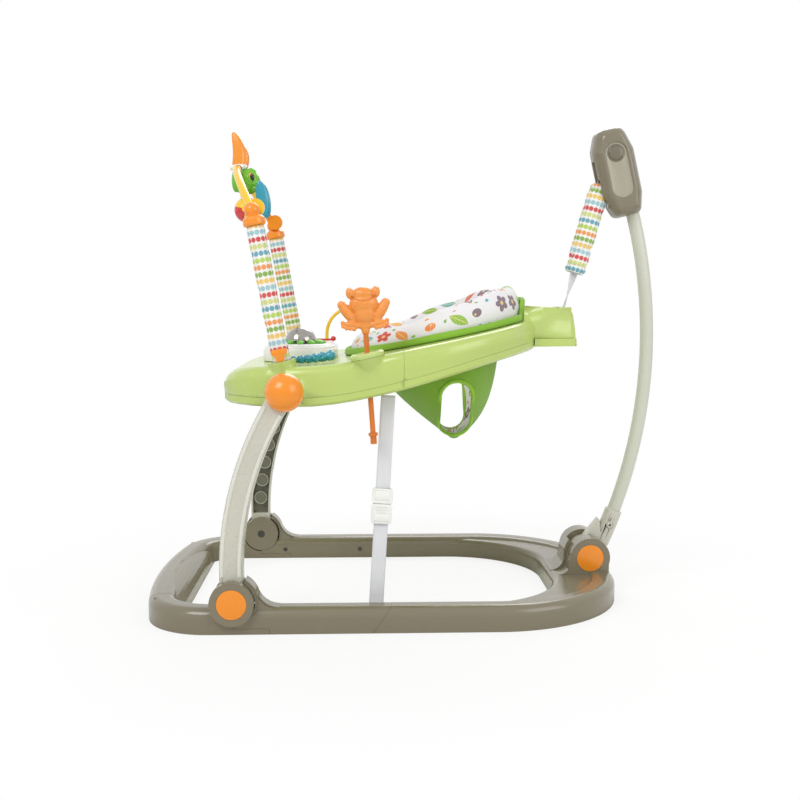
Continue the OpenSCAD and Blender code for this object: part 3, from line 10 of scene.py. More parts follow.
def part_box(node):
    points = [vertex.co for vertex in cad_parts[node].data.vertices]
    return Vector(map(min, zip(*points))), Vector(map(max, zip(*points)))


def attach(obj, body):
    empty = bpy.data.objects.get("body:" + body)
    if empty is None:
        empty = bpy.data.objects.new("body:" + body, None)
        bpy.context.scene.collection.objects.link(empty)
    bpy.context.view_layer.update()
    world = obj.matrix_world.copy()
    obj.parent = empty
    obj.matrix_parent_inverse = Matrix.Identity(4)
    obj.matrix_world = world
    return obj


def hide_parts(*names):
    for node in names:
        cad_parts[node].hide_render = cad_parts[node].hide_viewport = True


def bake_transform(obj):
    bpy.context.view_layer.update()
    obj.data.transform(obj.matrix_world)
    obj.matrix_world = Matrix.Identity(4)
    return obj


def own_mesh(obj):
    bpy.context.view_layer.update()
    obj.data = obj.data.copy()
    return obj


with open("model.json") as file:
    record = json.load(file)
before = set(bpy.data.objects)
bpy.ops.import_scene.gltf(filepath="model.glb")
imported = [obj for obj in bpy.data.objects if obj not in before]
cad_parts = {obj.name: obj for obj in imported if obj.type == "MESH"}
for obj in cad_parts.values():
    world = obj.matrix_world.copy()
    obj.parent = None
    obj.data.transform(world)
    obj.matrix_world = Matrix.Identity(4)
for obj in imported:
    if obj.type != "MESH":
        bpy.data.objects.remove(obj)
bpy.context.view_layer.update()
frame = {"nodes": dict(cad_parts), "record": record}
nodes = frame["nodes"]
scene = bpy.context.scene
print("frame loaded:", len(nodes), "nodes")

# Places are written in millimetres from the front hinge line on the floor.
hingeShift = 304.35


def at(x, y, z):
    return Vector((x - hingeShift, y, z)) / 1000


def ramp(t):
    t = min(max(t, 0), 1)
    return t * t * (3 - 2 * t)


def mix(a, b, t):
    return a + (b - a) * t


def trayTop(x):
    return 450 + 94 * ramp((x - 104.5) / 500) - 14 * ramp((x - 229.5) / 260)


# Shader maths

def tint(code, gain=1.0):
    parts = [int(code[i:i + 2], 16) / 255 for i in (1, 3, 5)]
    return [min(1, gain * (c / 12.92 if c <= 0.04045 else ((c + 0.055) / 1.055) ** 2.4)) for c in parts] + [1]


class Val:
    def __init__(self, finish, socket):
        self.finish, self.socket = finish, socket

    def maths(self, kind, *others):
        return self.finish.node("Math", {"operation": kind}, dict(enumerate((self,) + others)))

    def turned(self, kind, other):
        return self.finish.node("Math", {"operation": kind}, {0: other, 1: self})

    def __add__(self, other): return self.maths("ADD", other)
    def __sub__(self, other): return self.maths("SUBTRACT", other)
    def __mul__(self, other): return self.maths("MULTIPLY", other)
    def __truediv__(self, other): return self.maths("DIVIDE", other)
    def __mod__(self, other): return self.maths("FLOORED_MODULO", other)
    def __pow__(self, other): return self.maths("POWER", other)
    def __gt__(self, other): return self.maths("GREATER_THAN", other)
    def __lt__(self, other): return self.maths("LESS_THAN", other)
    def __abs__(self): return self.maths("ABSOLUTE")
    def __rsub__(self, other): return self.turned("SUBTRACT", other)
    def __rtruediv__(self, other): return self.turned("DIVIDE", other)
    __radd__ = __add__
    __rmul__ = __mul__


class Finish:
    def __init__(self, name, **fixed):
        self.material = bpy.data.materials.new(name)
        self.material.use_nodes = True
        self.tree = self.material.node_tree
        self.shader = self.tree.nodes["Principled BSDF"]
        for socket, value in fixed.items():
            self.shader.inputs[socket.replace("_", " ")].default_value = value

    def node(self, kind, settings=None, inputs=None, out=0):
        made = self.tree.nodes.new("ShaderNode" + kind)
        for key, value in (settings or {}).items():
            if key == "stops":
                while len(made.color_ramp.elements) < len(value):
                    made.color_ramp.elements.new(1)
                for stop, (place, colour) in zip(made.color_ramp.elements, value):
                    stop.position, stop.color = place, colour
            elif key == "interpolation":
                made.color_ramp.interpolation = value
            else:
                setattr(made, key, value)
        for key, value in (inputs or {}).items():
            self.feed(made.inputs[key], value)
        return Val(self, made.outputs[out])

    def feed(self, socket, value):
        if isinstance(value, Val):
            self.tree.links.new(value.socket, socket)
        else:
            socket.default_value = value

    def put(self, socket, value):
        self.feed(self.shader.inputs[socket], value)

    def place(self):
        return self.node("TexCoord", out="Object")

    def uv(self):
        split = self.node("SeparateXYZ", inputs={0: self.node("TexCoord", out="UV")})
        return split, Val(self, split.socket.node.outputs[1])

    def xyz(self, vector):
        split = self.node("SeparateXYZ", inputs={0: vector})
        return [Val(self, split.socket.node.outputs[i]) for i in range(3)]

    def vector(self, x, y, z=0.0):
        return self.node("CombineXYZ", inputs={0: x, 1: y, 2: z})

    def noise(self, vector, scale, detail=2.0):
        return self.node("TexNoise", inputs={"Vector": vector, "Scale": scale, "Detail": detail})

    def mixed(self, share, a, b):
        return self.node("Mix", {"data_type": "RGBA"}, {0: share, 6: a, 7: b}, out=2)

    def soft(self, value, low, high):
        return self.node("MapRange", {"interpolation_type": "SMOOTHSTEP"}, {0: value, 1: low, 2: high})

    def bump(self, height, depth, strength=1.0):
        self.put("Normal", self.node("Bump", inputs={"Height": height, "Distance": depth, "Strength": strength}))


def moulded(name, colour, rough=0.3, grain=0.00006, cloud=0.05, **fixed):
    f = Finish(name, **fixed)
    where = f.place()
    broad, mid, fine = f.noise(where, 8, 2), f.noise(where, 90, 3), f.noise(where, 1300, 2)
    f.put("Base Color", f.mixed(broad, tint(colour, 1 - cloud), tint(colour, 1 + cloud)))
    scuff = f.soft(f.noise(where, 260, 4), 0.56, 0.74)
    f.put("Roughness", (mid - 0.5) * 0.1 + scuff * 0.08 + rough)
    f.bump(fine * 0.55 + mid * 0.45, grain)
    return f


def steel(name, colour, rough):
    f = Finish(name, Metallic=1.0)
    x, y, z = f.xyz(f.place())
    lines = f.noise(f.vector(x * 400, y * 40, z * 400), 1.0, 3)
    f.put("Base Color", f.mixed(lines, tint(colour, 0.9), tint(colour, 1.05)))
    f.put("Roughness", lines * 0.18 + rough)
    f.bump(lines, 0.00004)
    return f


# Woven cloth reads the piece's own UV map, which is in metres.
def weave(f, u, v, pitch):
    over = f.node("Math", {"operation": "SINE"}, {0: u * (math.tau / pitch)})
    under = f.node("Math", {"operation": "SINE"}, {0: v * (math.tau / pitch)})
    return over * under * 0.5 + 0.5


def cloth(name, colour, pitch=0.0011, rough=0.85, crease=0.0012, **fixed):
    f = Finish(name, **fixed)
    u, v = f.uv()
    threads = weave(f, u, v, pitch)
    where = f.place()
    slub, fold = f.noise(where, 420, 3), f.noise(where, 26, 2)
    shade = f.mixed(slub, tint(colour, 0.88), tint(colour, 1.1))
    f.put("Base Color", f.mixed(threads * 0.3, shade, tint(colour, 0.72)))
    f.put("Roughness", slub * 0.12 + rough - 0.06)
    f.bump(threads * 0.16 + slub * 0.1 + fold * 0.74, crease)
    return f


# A scattered print: large leaves, blossoms and berries over small dots, each cell with its own turn and colour.
printLook = {"cell": 0.043, "leaf": 0.46, "lean": 0.21, "blossom": 0.36, "berry": 0.2, "small": 0.021, "dot": 0.17,
             "ground": "#f1eff1", "light": "#fbe38a",
             "inks": ["#76b035", "#f3ab45", "#5fb0b4", "#d8453f", "#86707f", "#a9cc3f", "#f08a3c", "#8dc04a"]}


def inkFor(f, chance, inks):
    stops = [(i / len(inks), tint(c)) for i, c in enumerate(inks)]
    return f.node("ValToRGB", {"interpolation": "CONSTANT", "stops": stops}, {0: chance})


def scattered(f, u, v, cell, spread):
    spot = f.vector(u / cell, v / cell)
    cells = f.node("TexVoronoi", {"voronoi_dimensions": "2D"}, {"Vector": spot, "Scale": 1.0, "Randomness": spread},
                   out="Position")
    chance = f.xyz(Val(f, cells.socket.node.outputs["Color"]))
    local = f.node("VectorMath", {"operation": "SUBTRACT"}, {0: spot, 1: cells})
    local = f.node("VectorRotate", {"rotation_type": "Z_AXIS"}, {"Vector": local, "Angle": chance[1] * math.tau})
    far = f.node("VectorMath", {"operation": "LENGTH"}, {0: local}, out=1)
    return f.xyz(local), far, chance


def printed(f, u, v):
    look = printLook
    (x, y, _), far, (pick, turn, kind) = scattered(f, u, v, look["cell"], 0.42)
    within = abs(x) < look["leaf"]
    leaf = f.soft((1 - (x / look["leaf"]) ** 2.0) * look["lean"] - abs(y), -0.006, 0.01) * within
    slant = f.node("Math", {"operation": "SINE"}, {0: (abs(y) * 1.4 - x) * 34})
    vein = f.soft(abs(y), 0.024, 0.012) * (abs(x) < look["leaf"] * 0.86)
    ribs = f.soft(slant, 0.72, 0.9) * 0.6
    swirl = f.node("Math", {"operation": "ARCTAN2"}, {0: y, 1: x})
    petals = abs(f.node("Math", {"operation": "SINE"}, {0: swirl * 2.5})) * 0.42 + 0.58
    blossom = f.soft(petals * look["blossom"] - far, -0.006, 0.01)
    heart = f.soft(far, 0.1, 0.08)
    berry = f.soft(far, look["berry"] + 0.01, look["berry"] - 0.006)
    shine = f.soft(((x - 0.07) ** 2.0 + (y - 0.07) ** 2.0) ** 0.5, 0.06, 0.045)
    isLeaf, isBerry = kind < 0.5, kind > 0.78
    isBlossom = (1 - isLeaf) * (1 - isBerry)
    shape = leaf * isLeaf + blossom * isBlossom + berry * isBerry
    inner = f.node("Math", {"operation": "MAXIMUM"}, {0: vein, 1: ribs}) * isLeaf + heart * isBlossom + shine * isBerry
    drawn = f.mixed(inner * 0.75, inkFor(f, pick, look["inks"]), tint(look["light"]))
    _, speckFar, (speckPick, _, speckKind) = scattered(f, u + 0.007, v + 0.004, look["small"], 0.7)
    speck = f.soft(speckFar, look["dot"] + 0.02, look["dot"] - 0.02) * (speckKind < 0.6)
    ground = f.mixed(speck, tint(look["ground"]), inkFor(f, speckPick, look["inks"]))
    clear = f.soft(far, 0.5, 0.46)
    ground = f.mixed(clear, ground, tint(look["ground"]))
    return f.mixed(shape, ground, drawn)


def printedCloth(name):
    f = Finish(name, Sheen_Weight=0.15)
    u, v = f.uv()
    threads = weave(f, u, v, 0.0009)
    where = f.place()
    slub, fold = f.noise(where, 420, 3), f.noise(where, 30, 3)
    f.put("Base Color", f.mixed(threads * 0.1, printed(f, u, v), tint("#c9c7c6")))
    f.put("Roughness", slub * 0.1 + 0.76)
    f.bump(threads * 0.1 + slub * 0.08 + fold * 0.82, 0.0016)
    return f


dotLook = {"row": 0.0118, "step": 0.0094, "dot": 0.47, "ground": "#f3f1ec",
           "inks": ["#d3222a", "#98c6d2", "#f0c75c", "#7fae2f", "#ee9338", "#b2d04a", "#4f9fb4", "#cfd67c"]}


def dotted(name):
    f = Finish(name, Sheen_Weight=0.1)
    u, v = f.uv()
    row, column = v / dotLook["row"], u / dotLook["step"]
    a, b = column % 1.0 - 0.5, row % 1.0 - 0.5
    far = (a ** 2.0 + (b * (dotLook["row"] / dotLook["step"])) ** 2.0) ** 0.5
    dot = f.soft(far, dotLook["dot"] + 0.05, dotLook["dot"] - 0.05)
    ink = inkFor(f, ((row - 2) / len(dotLook["inks"])) % 1.0, dotLook["inks"])
    threads, slub = weave(f, u, v, 0.0009), f.noise(f.place(), 500, 3)
    worn = f.mixed(slub * 0.06, ink, tint("#ffffff"))
    f.put("Base Color", f.mixed(dot * 0.95, tint(dotLook["ground"]), worn))
    f.put("Roughness", slub * 0.1 + 0.74)
    f.bump(threads * 0.3 + slub * 0.3 + f.noise(f.place(), 60, 2) * 0.4, 0.0005)
    return f


def webbed(name, colour, pitch=0.0016):
    f = Finish(name, Sheen_Weight=0.1)
    u, v = f.uv()
    slant = f.node("Math", {"operation": "SINE"}, {0: (v + abs(u) * 0.9) * (math.tau / pitch)})
    rib = f.node("Math", {"operation": "SINE"}, {0: u * (math.tau / (pitch * 0.8))})
    threads = slant * 0.35 + rib * 0.15 + 0.5
    slub = f.noise(f.place(), 600, 3)
    f.put("Base Color", f.mixed(threads, tint(colour, 0.8), tint(colour, 1.03)))
    f.put("Roughness", slub * 0.15 + 0.62)
    f.bump(threads * 0.8 + slub * 0.2, 0.0004)
    return f


def glowing(name, colour, rough, cloudy):
    f = Finish(name, Transmission_Weight=0.12, IOR=1.46, Subsurface_Weight=0.3, Subsurface_Radius=(0.012, 0.006, 0.003),
               Subsurface_Scale=0.4)
    where = f.place()
    motes = f.node("TexVoronoi", inputs={"Vector": where, "Scale": 420.0})
    speck, broad = f.soft(motes, 0.32, 0.16), f.noise(where, 45, 3)
    shade = f.mixed(broad, tint(colour, 1 - cloudy), tint(colour, 1 + cloudy))
    f.put("Base Color", f.mixed(speck * 0.22, shade, tint(colour, 0.55)))
    f.put("Roughness", broad * 0.12 + rough)
    f.bump(speck * 0.3 + broad * 0.7, 0.0002)
    return f


finishes = {
    "basePlastic": moulded("basePlastic", "#7d7560", 0.2, cloud=0.04, Coat_Weight=0.25, Coat_Roughness=0.12),
    "legPlastic": moulded("legPlastic", "#c6c4b6", 0.28, Coat_Weight=0.15),
    "linerPlastic": moulded("linerPlastic", "#6d6c5c", 0.42),
    "steel": steel("steel", "#b9babb", 0.2),
    "darkSteel": steel("darkSteel", "#5b5852", 0.28),
    # a paler copy of legPlastic for the beads on the legs' edges: painted highlight on the raised rims
    "legRimPaintedHighlight": moulded("legRimPaintedHighlight", "#dcdbd0", 0.24, cloud=0.03),
    # a paler copy of linerPlastic for the rings on the liners' ribs: painted highlight on the ribs
    "linerRingPaintedHighlight": moulded("linerRingPaintedHighlight", "#a5a493", 0.3),
    "tubePaint": moulded("tubePaint", "#c9cabb", 0.24, grain=0.00009),
    "trayPlastic": moulded("trayPlastic", "#bacd70", 0.22, cloud=0.04, Coat_Weight=0.2, Coat_Roughness=0.1),
    "orangePlastic": moulded("orangePlastic", "#f3901c", 0.22, Coat_Weight=0.2, Coat_Roughness=0.1),
    "yellowPlastic": moulded("yellowPlastic", "#f3c51c", 0.22),
    "whitePlastic": moulded("whitePlastic", "#f0f0ed", 0.3, cloud=0.02),
    "birdGreen": moulded("birdGreen", "#6ab81a", 0.22, Coat_Weight=0.2),
    "beakPlastic": moulded("beakPlastic", "#ee9222", 0.2, Coat_Weight=0.2),
    "leafGreen": moulded("leafGreen", "#62b52a", 0.3, grain=0.0002),
    "tealPlastic": moulded("tealPlastic", "#2a9ab4", 0.2, Coat_Weight=0.3),
    "redPlastic": moulded("redPlastic", "#cf3036", 0.2, Coat_Weight=0.2),
    "eyeBlack": moulded("eyeBlack", "#2a1c16", 0.15),
    "frogPlastic": glowing("frogPlastic", "#f9a04c", 0.18, 0.08),
    "stemPlastic": glowing("stemPlastic", "#e07e26", 0.24, 0.12),
    "cupPlastic": glowing("cupPlastic", "#cfe290", 0.16, 0.05),
    "buckle": moulded("buckle", "#eceee9", 0.3, cloud=0.02),
    "padPrint": printedCloth("padPrint"),
    "bindingCloth": cloth("bindingCloth", "#8cc038", crease=0.0007, Sheen_Weight=0.2),
    "slingCloth": cloth("slingCloth", "#86b92f", crease=0.0022, Sheen_Weight=0.2),
    "slingTape": cloth("slingTape", "#93c63f", pitch=0.0014, crease=0.0006),
    "sleeveDots": dotted("sleeveDots"),
    "webbing": webbed("webbing", "#ebecef"),
    "thread": cloth("thread", "#b9dc7c", pitch=0.0006, crease=0.0002),
    "whiteThread": cloth("whiteThread", "#f4f4f2", pitch=0.0006, crease=0.0002),
}
look = {name: f.material for name, f in finishes.items()}


def domeFinish():
    f = Finish("domeFinish", Coat_Weight=0.6, Coat_Roughness=0.04)
    where = f.place()
    haze = f.noise(where, 60, 3)
    f.put("Base Color", f.mixed(haze, tint("#8d8985"), tint("#aaa6a2")))
    f.put("Metallic", haze * 0.2 + 0.7)
    f.put("Roughness", haze * 0.08 + 0.1)
    f.bump(f.noise(where, 900, 2), 0.00003)
    return f.material


def ballFinish():
    f = Finish("ballFinish", Coat_Weight=0.2)
    where = f.place()
    x, y, z = f.xyz(where)
    middle = (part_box("spinner_ball")[0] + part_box("spinner_ball")[1]) / 2
    turn = f.node("Math", {"operation": "ARCTAN2"}, {0: z - middle.z, 1: x - middle.x})
    wedge = f.node("Math", {"operation": "SINE"}, {0: turn * 2 - 2.65})
    yellow = f.soft(wedge, -0.03, 0.03)
    broad = f.noise(where, 60, 2)
    f.put("Base Color", f.mixed(yellow, f.mixed(broad, tint("#c92c34"), tint("#d63a40")),
                                f.mixed(broad, tint("#f2c11c"), tint("#f8cf3a"))))
    f.put("Roughness", broad * 0.1 + 0.18)
    f.bump(f.soft(abs(wedge), 0.0, 0.08), 0.0003)
    return f.material


# The housing's recess is paler than the rest, and the disc in it darker.
housingLook = {"middle": (0.40132, 0.804), "tilt": 13, "lift": 0.002, "half": 0.032, "radius": 0.0198,
               "disc": 0.0168, "depth": 0.028, "edge": 0.0004}


def housingFinish():
    f = moulded("housingPlastic", "#7d7561", 0.2, cloud=0.04, Coat_Weight=0.3, Coat_Roughness=0.1)
    x, y, z = f.xyz(f.place())
    side, up = math.sin(math.radians(housingLook["tilt"])), math.cos(math.radians(housingLook["tilt"]))
    dx, dz = x - housingLook["middle"][0], z - housingLook["middle"][1]
    along, across = dz * up - dx * side - housingLook["lift"], dx * up + dz * side
    past = f.node("Math", {"operation": "MAXIMUM"}, {0: abs(along) - housingLook["half"], 1: 0.0})
    edge = housingLook["edge"]
    inside = f.soft((across ** 2.0 + past ** 2.0) ** 0.5, housingLook["radius"] + edge, housingLook["radius"] - edge)
    middle = (across ** 2.0 + (along - housingLook["half"]) ** 2.0) ** 0.5
    disc = f.soft(middle, housingLook["disc"] + edge, housingLook["disc"] - edge)
    inside = inside * (abs(y) > housingLook["depth"])
    plain = Val(f, f.shader.inputs["Base Color"].links[0].from_socket)
    panel = f.mixed(disc, tint("#a29c8a"), tint("#6f6857"))
    f.put("Base Color", f.mixed(inside, plain, panel))
    return f.material


# The bar is yellow, and its far end is orange where the cap holds it.
def barFinish():
    f = moulded("barPlastic", "#f3c51c", 0.22, Coat_Weight=0.2)
    y = f.xyz(f.place())[1]
    plain = Val(f, f.shader.inputs["Base Color"].links[0].from_socket)
    f.put("Base Color", f.mixed(y > 0.17, plain, tint("#f3901c")))
    return f.material


look["dome"], look["ball"] = domeFinish(), ballFinish()
look["housingPlastic"], look["bar"] = housingFinish(), barFinish()
print("finishes made:", len(look))

nodeLooks = {
    "basePlastic": "base_front_bow base_rail_left base_rail_right base_rear_bow rear_pedestal tether_anchor",
    "darkSteel": "front_hinge_pins base_screws",
    "steel": "rear_hinge_pin hub_axles tail_pin_rod hanger_rod spring_hook bounce_spring",
    "legPlastic": "front_leg_left front_leg_right post_socket",
    "linerPlastic": "leg_liner_left leg_liner_right",
    "orangePlastic": "hub_caps post_clips post_caps toucan_beak button_front_left button_front_right "
                     "button_rear_left button_rear_right",
    "trayPlastic": "tray_front tray_rear tray_lower_front tray_lower_rear",
    "whitePlastic": "toy_post_left toy_post_right console_base",
    "yellowPlastic": "bead_arch",
    "bar": "toy_bar",
    "leafGreen": "leaf_collar",
    "tealPlastic": "bead_worm toucan_wings",
    "redPlastic": "console_lever",
    "birdGreen": "toucan_body",
    "frogPlastic": "frog_toy",
    "stemPlastic": "frog_stem",
    "cupPlastic": "frog_cup",
    "tubePaint": "rear_tube",
    "housingPlastic": "housing_left housing_right",
    "buckle": "buckle_socket buckle_plug",
    "webbing": "tether_web spring_strap",
    "sleeveDots": "post_sleeve_left post_sleeve_right spring_sleeve",
    "padPrint": "seat_pad",
    "bindingCloth": "pad_binding",
    "slingCloth": "seat_sling",
    "dome": "console_dome",
    "ball": "spinner_ball",
}
for finish, names in nodeLooks.items():
    for name in names.split():
        nodes[name].data.materials.clear()
        nodes[name].data.materials.append(look[finish])


# Mesh tools

def asObject(name, mesh, materials=(), smooth=True):
    for finish in materials:
        mesh.materials.append(look[finish])
    if smooth:
        mesh.polygons.foreach_set("use_smooth", [True] * len(mesh.polygons))
    piece = bpy.data.objects.new(name, mesh)
    scene.collection.objects.link(piece)
    return piece


def settled(piece):
    bpy.context.view_layer.update()
    graph = bpy.context.evaluated_depsgraph_get()
    made = bpy.data.meshes.new_from_object(piece.evaluated_get(graph))
    old = piece.data
    piece.modifiers.clear()
    piece.data = made
    bpy.data.meshes.remove(old)
    return piece


def sharpened(piece, degrees=35):
    piece.data.set_sharp_from_angle(angle=math.radians(degrees))
    return piece


# Rows of points, each row closed round unless it says open, become quads with a UV map in metres.
def gridPiece(name, rows, materials, size, openRows=False, closeEnds=False, capped=False, finishAt=None, places=None):
    across, down = len(rows[0]), len(rows)
    work = bmesh.new()
    uv = work.loops.layers.uv.new("UVMap")
    made = [[work.verts.new(p) for p in row] for row in rows]
    spans = across - 1 if openRows else across
    places = places or [j / spans for j in range(spans + 1)]
    for r in range(down if closeEnds else down - 1):
        for c in range(spans):
            corners = [(r, c), (r, c + 1), (r + 1, c + 1), (r + 1, c)]
            face = work.faces.new([made[i % down][j % across] for i, j in corners])
            for loop, (i, j) in zip(face.loops, corners):
                loop[uv].uv = (places[j] * size[0], i / (down if closeEnds else down - 1) * size[1])
            if finishAt:
                face.material_index = finishAt(r, c)
    if capped:
        for ring in (made[0], made[-1]):
            face = work.faces.new(ring)
            for loop in face.loops:
                loop[uv].uv = (0, 0)
    bmesh.ops.recalc_face_normals(work, faces=work.faces)
    mesh = bpy.data.meshes.new(name)
    work.to_mesh(mesh)
    work.free()
    return asObject(name, mesh, materials)


def subdivided(piece, levels=1):
    step = piece.modifiers.new("subdivide", "SUBSURF")
    step.levels = step.render_levels = levels
    return settled(piece)


# A round hole along Y through the piece's own origin.
def bored(piece, radius):
    work = bmesh.new()
    bmesh.ops.create_cone(work, cap_ends=True, segments=48, radius1=radius, radius2=radius, depth=200,
                          matrix=Matrix.Rotation(math.pi / 2, 4, "X"))
    mesh = bpy.data.meshes.new("bore")
    work.to_mesh(mesh)
    work.free()
    cutter = asObject("bore", mesh, smooth=False)
    cut = piece.modifiers.new("bore", "BOOLEAN")
    cut.object, cut.operation, cut.solver = cutter, "DIFFERENCE", "EXACT"
    settled(piece)
    bpy.data.objects.remove(cutter)


# Ellipsoids joined by a voxel skin: each is (centre, radii, turn about Y, turn about X) in the piece's own millimetres.
def skinned(name, lumps, toRow, voxel, finish, smoothing=6, carve=None, bore=None, fine=3):
    work = bmesh.new()
    for centre, radii, turnY, turnX in lumps:
        shape = Matrix.Translation(centre) @ Matrix.Rotation(math.radians(turnY), 4, "Y")
        shape = shape @ Matrix.Rotation(math.radians(turnX), 4, "X") @ Matrix.Diagonal((*radii, 1))
        bmesh.ops.create_icosphere(work, subdivisions=fine, radius=1, matrix=shape)
    mesh = bpy.data.meshes.new(name)
    work.to_mesh(mesh)
    work.free()
    piece = asObject(name, mesh)
    skin = piece.modifiers.new("skin", "REMESH")
    skin.mode, skin.voxel_size = "VOXEL", voxel
    relax = piece.modifiers.new("relax", "SMOOTH")
    relax.factor, relax.iterations = 0.5, smoothing
    settled(piece)
    if carve:
        moved = [v.co + carve(v.co, v.normal) for v in piece.data.vertices]
        for v, place in zip(piece.data.vertices, moved):
            v.co = place
    if bore:
        bored(piece, bore)
    piece.data.transform(toRow @ Matrix.Scale(0.001, 4))
    piece.data.materials.append(look[finish])
    piece.data.polygons.foreach_set("use_smooth", [True] * len(piece.data.polygons))
    return piece


# Geometry node trees

def nodeTree(name, sockets):
    tree = bpy.data.node_groups.new(name, "GeometryNodeTree")
    tree.interface.new_socket("Geometry", in_out="INPUT", socket_type="NodeSocketGeometry")
    for label, kind in sockets:
        tree.interface.new_socket(label, in_out="INPUT", socket_type="NodeSocket" + kind)
    tree.interface.new_socket("Geometry", in_out="OUTPUT", socket_type="NodeSocketGeometry")
    return tree


def wired(tree, kind, settings=None, inputs=None):
    made = tree.nodes.new(kind)
    for key, value in (settings or {}).items():
        setattr(made, key, value)
    for key, value in (inputs or {}).items():
        if isinstance(value, bpy.types.NodeSocket):
            tree.links.new(value, made.inputs[key])
        else:
            made.inputs[key].default_value = value
    return made


def stitchTree():
    tree = nodeTree("stitchRun", [("Pitch", "Float"), ("Length", "Float"), ("Width", "Float"), ("Thread", "Material")])
    given = tree.nodes.new("NodeGroupInput").outputs
    curve = wired(tree, "GeometryNodeMeshToCurve", inputs={"Mesh": given["Geometry"]})
    spaced = wired(tree, "GeometryNodeResampleCurve", {"mode": "LENGTH"},
                   {"Curve": curve.outputs[0], "Length": given["Pitch"]})
    facing = wired(tree, "FunctionNodeAlignRotationToVector", {"axis": "X"},
                   {"Vector": tree.nodes.new("GeometryNodeInputTangent").outputs[0]})
    size = wired(tree, "ShaderNodeCombineXYZ", inputs={0: given["Length"], 1: given["Width"], 2: given["Width"]})
    bead = wired(tree, "GeometryNodeMeshIcoSphere", inputs={"Radius": 0.5, "Subdivisions": 2})
    laid = wired(tree, "GeometryNodeInstanceOnPoints", inputs={"Points": spaced.outputs[0], "Instance": bead.outputs[0],
                 "Rotation": facing.outputs[0], "Scale": size.outputs[0]})
    solid = wired(tree, "GeometryNodeRealizeInstances", inputs={0: laid.outputs[0]})
    smooth = wired(tree, "GeometryNodeSetShadeSmooth", inputs={0: solid.outputs[0]})
    done = wired(tree, "GeometryNodeSetMaterial", inputs={"Geometry": smooth.outputs[0], "Material": given["Thread"]})
    wired(tree, "NodeGroupOutput", inputs={0: done.outputs[0]})
    return tree


def pipingTree():
    tree = nodeTree("pipingRun", [("Radius", "Float"), ("Sides", "Int"), ("Spacing", "Float"), ("Cover", "Material")])
    given = tree.nodes.new("NodeGroupInput").outputs
    curve = wired(tree, "GeometryNodeMeshToCurve", inputs={"Mesh": given["Geometry"]})
    spaced = wired(tree, "GeometryNodeResampleCurve", {"mode": "LENGTH"},
                   {"Curve": curve.outputs[0], "Length": given["Spacing"]})
    ring = wired(tree, "GeometryNodeCurvePrimitiveCircle",
                 inputs={"Resolution": given["Sides"], "Radius": given["Radius"]})
    swept = wired(tree, "GeometryNodeCurveToMesh", inputs={0: spaced.outputs[0], 1: ring.outputs[0], "Fill Caps": True})
    solid = wired(tree, "GeometryNodeRealizeInstances", inputs={0: swept.outputs[0]})
    smooth = wired(tree, "GeometryNodeSetShadeSmooth", inputs={0: solid.outputs[0]})
    done = wired(tree, "GeometryNodeSetMaterial", inputs={"Geometry": smooth.outputs[0], "Material": given["Cover"]})
    wired(tree, "NodeGroupOutput", inputs={0: done.outputs[0]})
    return tree


trees = {"stitch": stitchTree(), "piping": pipingTree()}


def alongPaths(name, kind, paths, **values):
    work = bmesh.new()
    for points, closed in paths:
        made = [work.verts.new(p) for p in points]
        for a, b in zip(made, made[1:] + made[:1] if closed else made[1:]):
            work.edges.new((a, b))
    mesh = bpy.data.meshes.new(name)
    work.to_mesh(mesh)
    work.free()
    piece = asObject(name, mesh, smooth=False)
    run = piece.modifiers.new("run", "NODES")
    run.node_group = trees[kind]
    for item in trees[kind].interface.items_tree:
        if item.in_out == "INPUT" and item.name in values:
            run[item.identifier] = values[item.name]
    return settled(piece)


# Smooth copies of the mouldings: merged, then a rounded edge where a width is given
def mouldCopy(name, crease, edge=0, shape=None):
    copy = nodes[name].copy()
    copy.data = nodes[name].data.copy()
    copy.name = name + "_smooth"
    for key in list(copy.keys()):
        del copy[key]
    copy.parent = None
    scene.collection.objects.link(copy)
    work = bmesh.new()
    work.from_mesh(copy.data)
    bmesh.ops.remove_doubles(work, verts=work.verts, dist=0.00002)
    if edge:
        bmesh.ops.dissolve_limit(work, angle_limit=math.radians(0.4), verts=work.verts, edges=work.edges)
    if shape:
        shape(work)
    work.to_mesh(copy.data)
    work.free()
    copy.data.normals_split_custom_set([(0, 0, 0)] * len(copy.data.loops))
    if edge:
        soft = copy.modifiers.new("edge", "BEVEL")
        soft.limit_method, soft.angle_limit = "ANGLE", math.radians(crease)
        soft.width, soft.segments, soft.use_clamp_overlap = edge / 1000, 3, False
        work = bmesh.new()
        work.from_mesh(copy.data)
        skin = BVHTree.FromBMesh(work)
        work.free()
        settled(copy)
        for v in copy.data.vertices:  # a point thrown off at a tight corner goes back to the moulding
            near, _, _, away = skin.find_nearest(v.co)
            if away > 0.9 * edge / 1000:
                v.co = near
    copy.data.polygons.foreach_set("use_smooth", [True] * len(copy.data.polygons))
    return sharpened(copy, 40 if edge else crease)


def placed(piece, body, slot, *replaced):
    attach(piece, body)
    if replaced:
        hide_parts(*replaced)
    return piece


# The nose of the tray rolls down ahead of the console.
noseLook = {"from": 66, "run": 99, "drop": 40, "bend": 2.4, "cell": 0.008,
            "seam": 0.404, "wall": 0.046, "rim": 0.012, "skirt": 0.02}


def noseDrop(x):
    s = min(max((noseLook["from"] - (x * 1000 + hingeShift)) / noseLook["run"], 0), 1)
    return -noseLook["drop"] * (1 - math.sqrt(1 - s ** noseLook["bend"])) / 1000


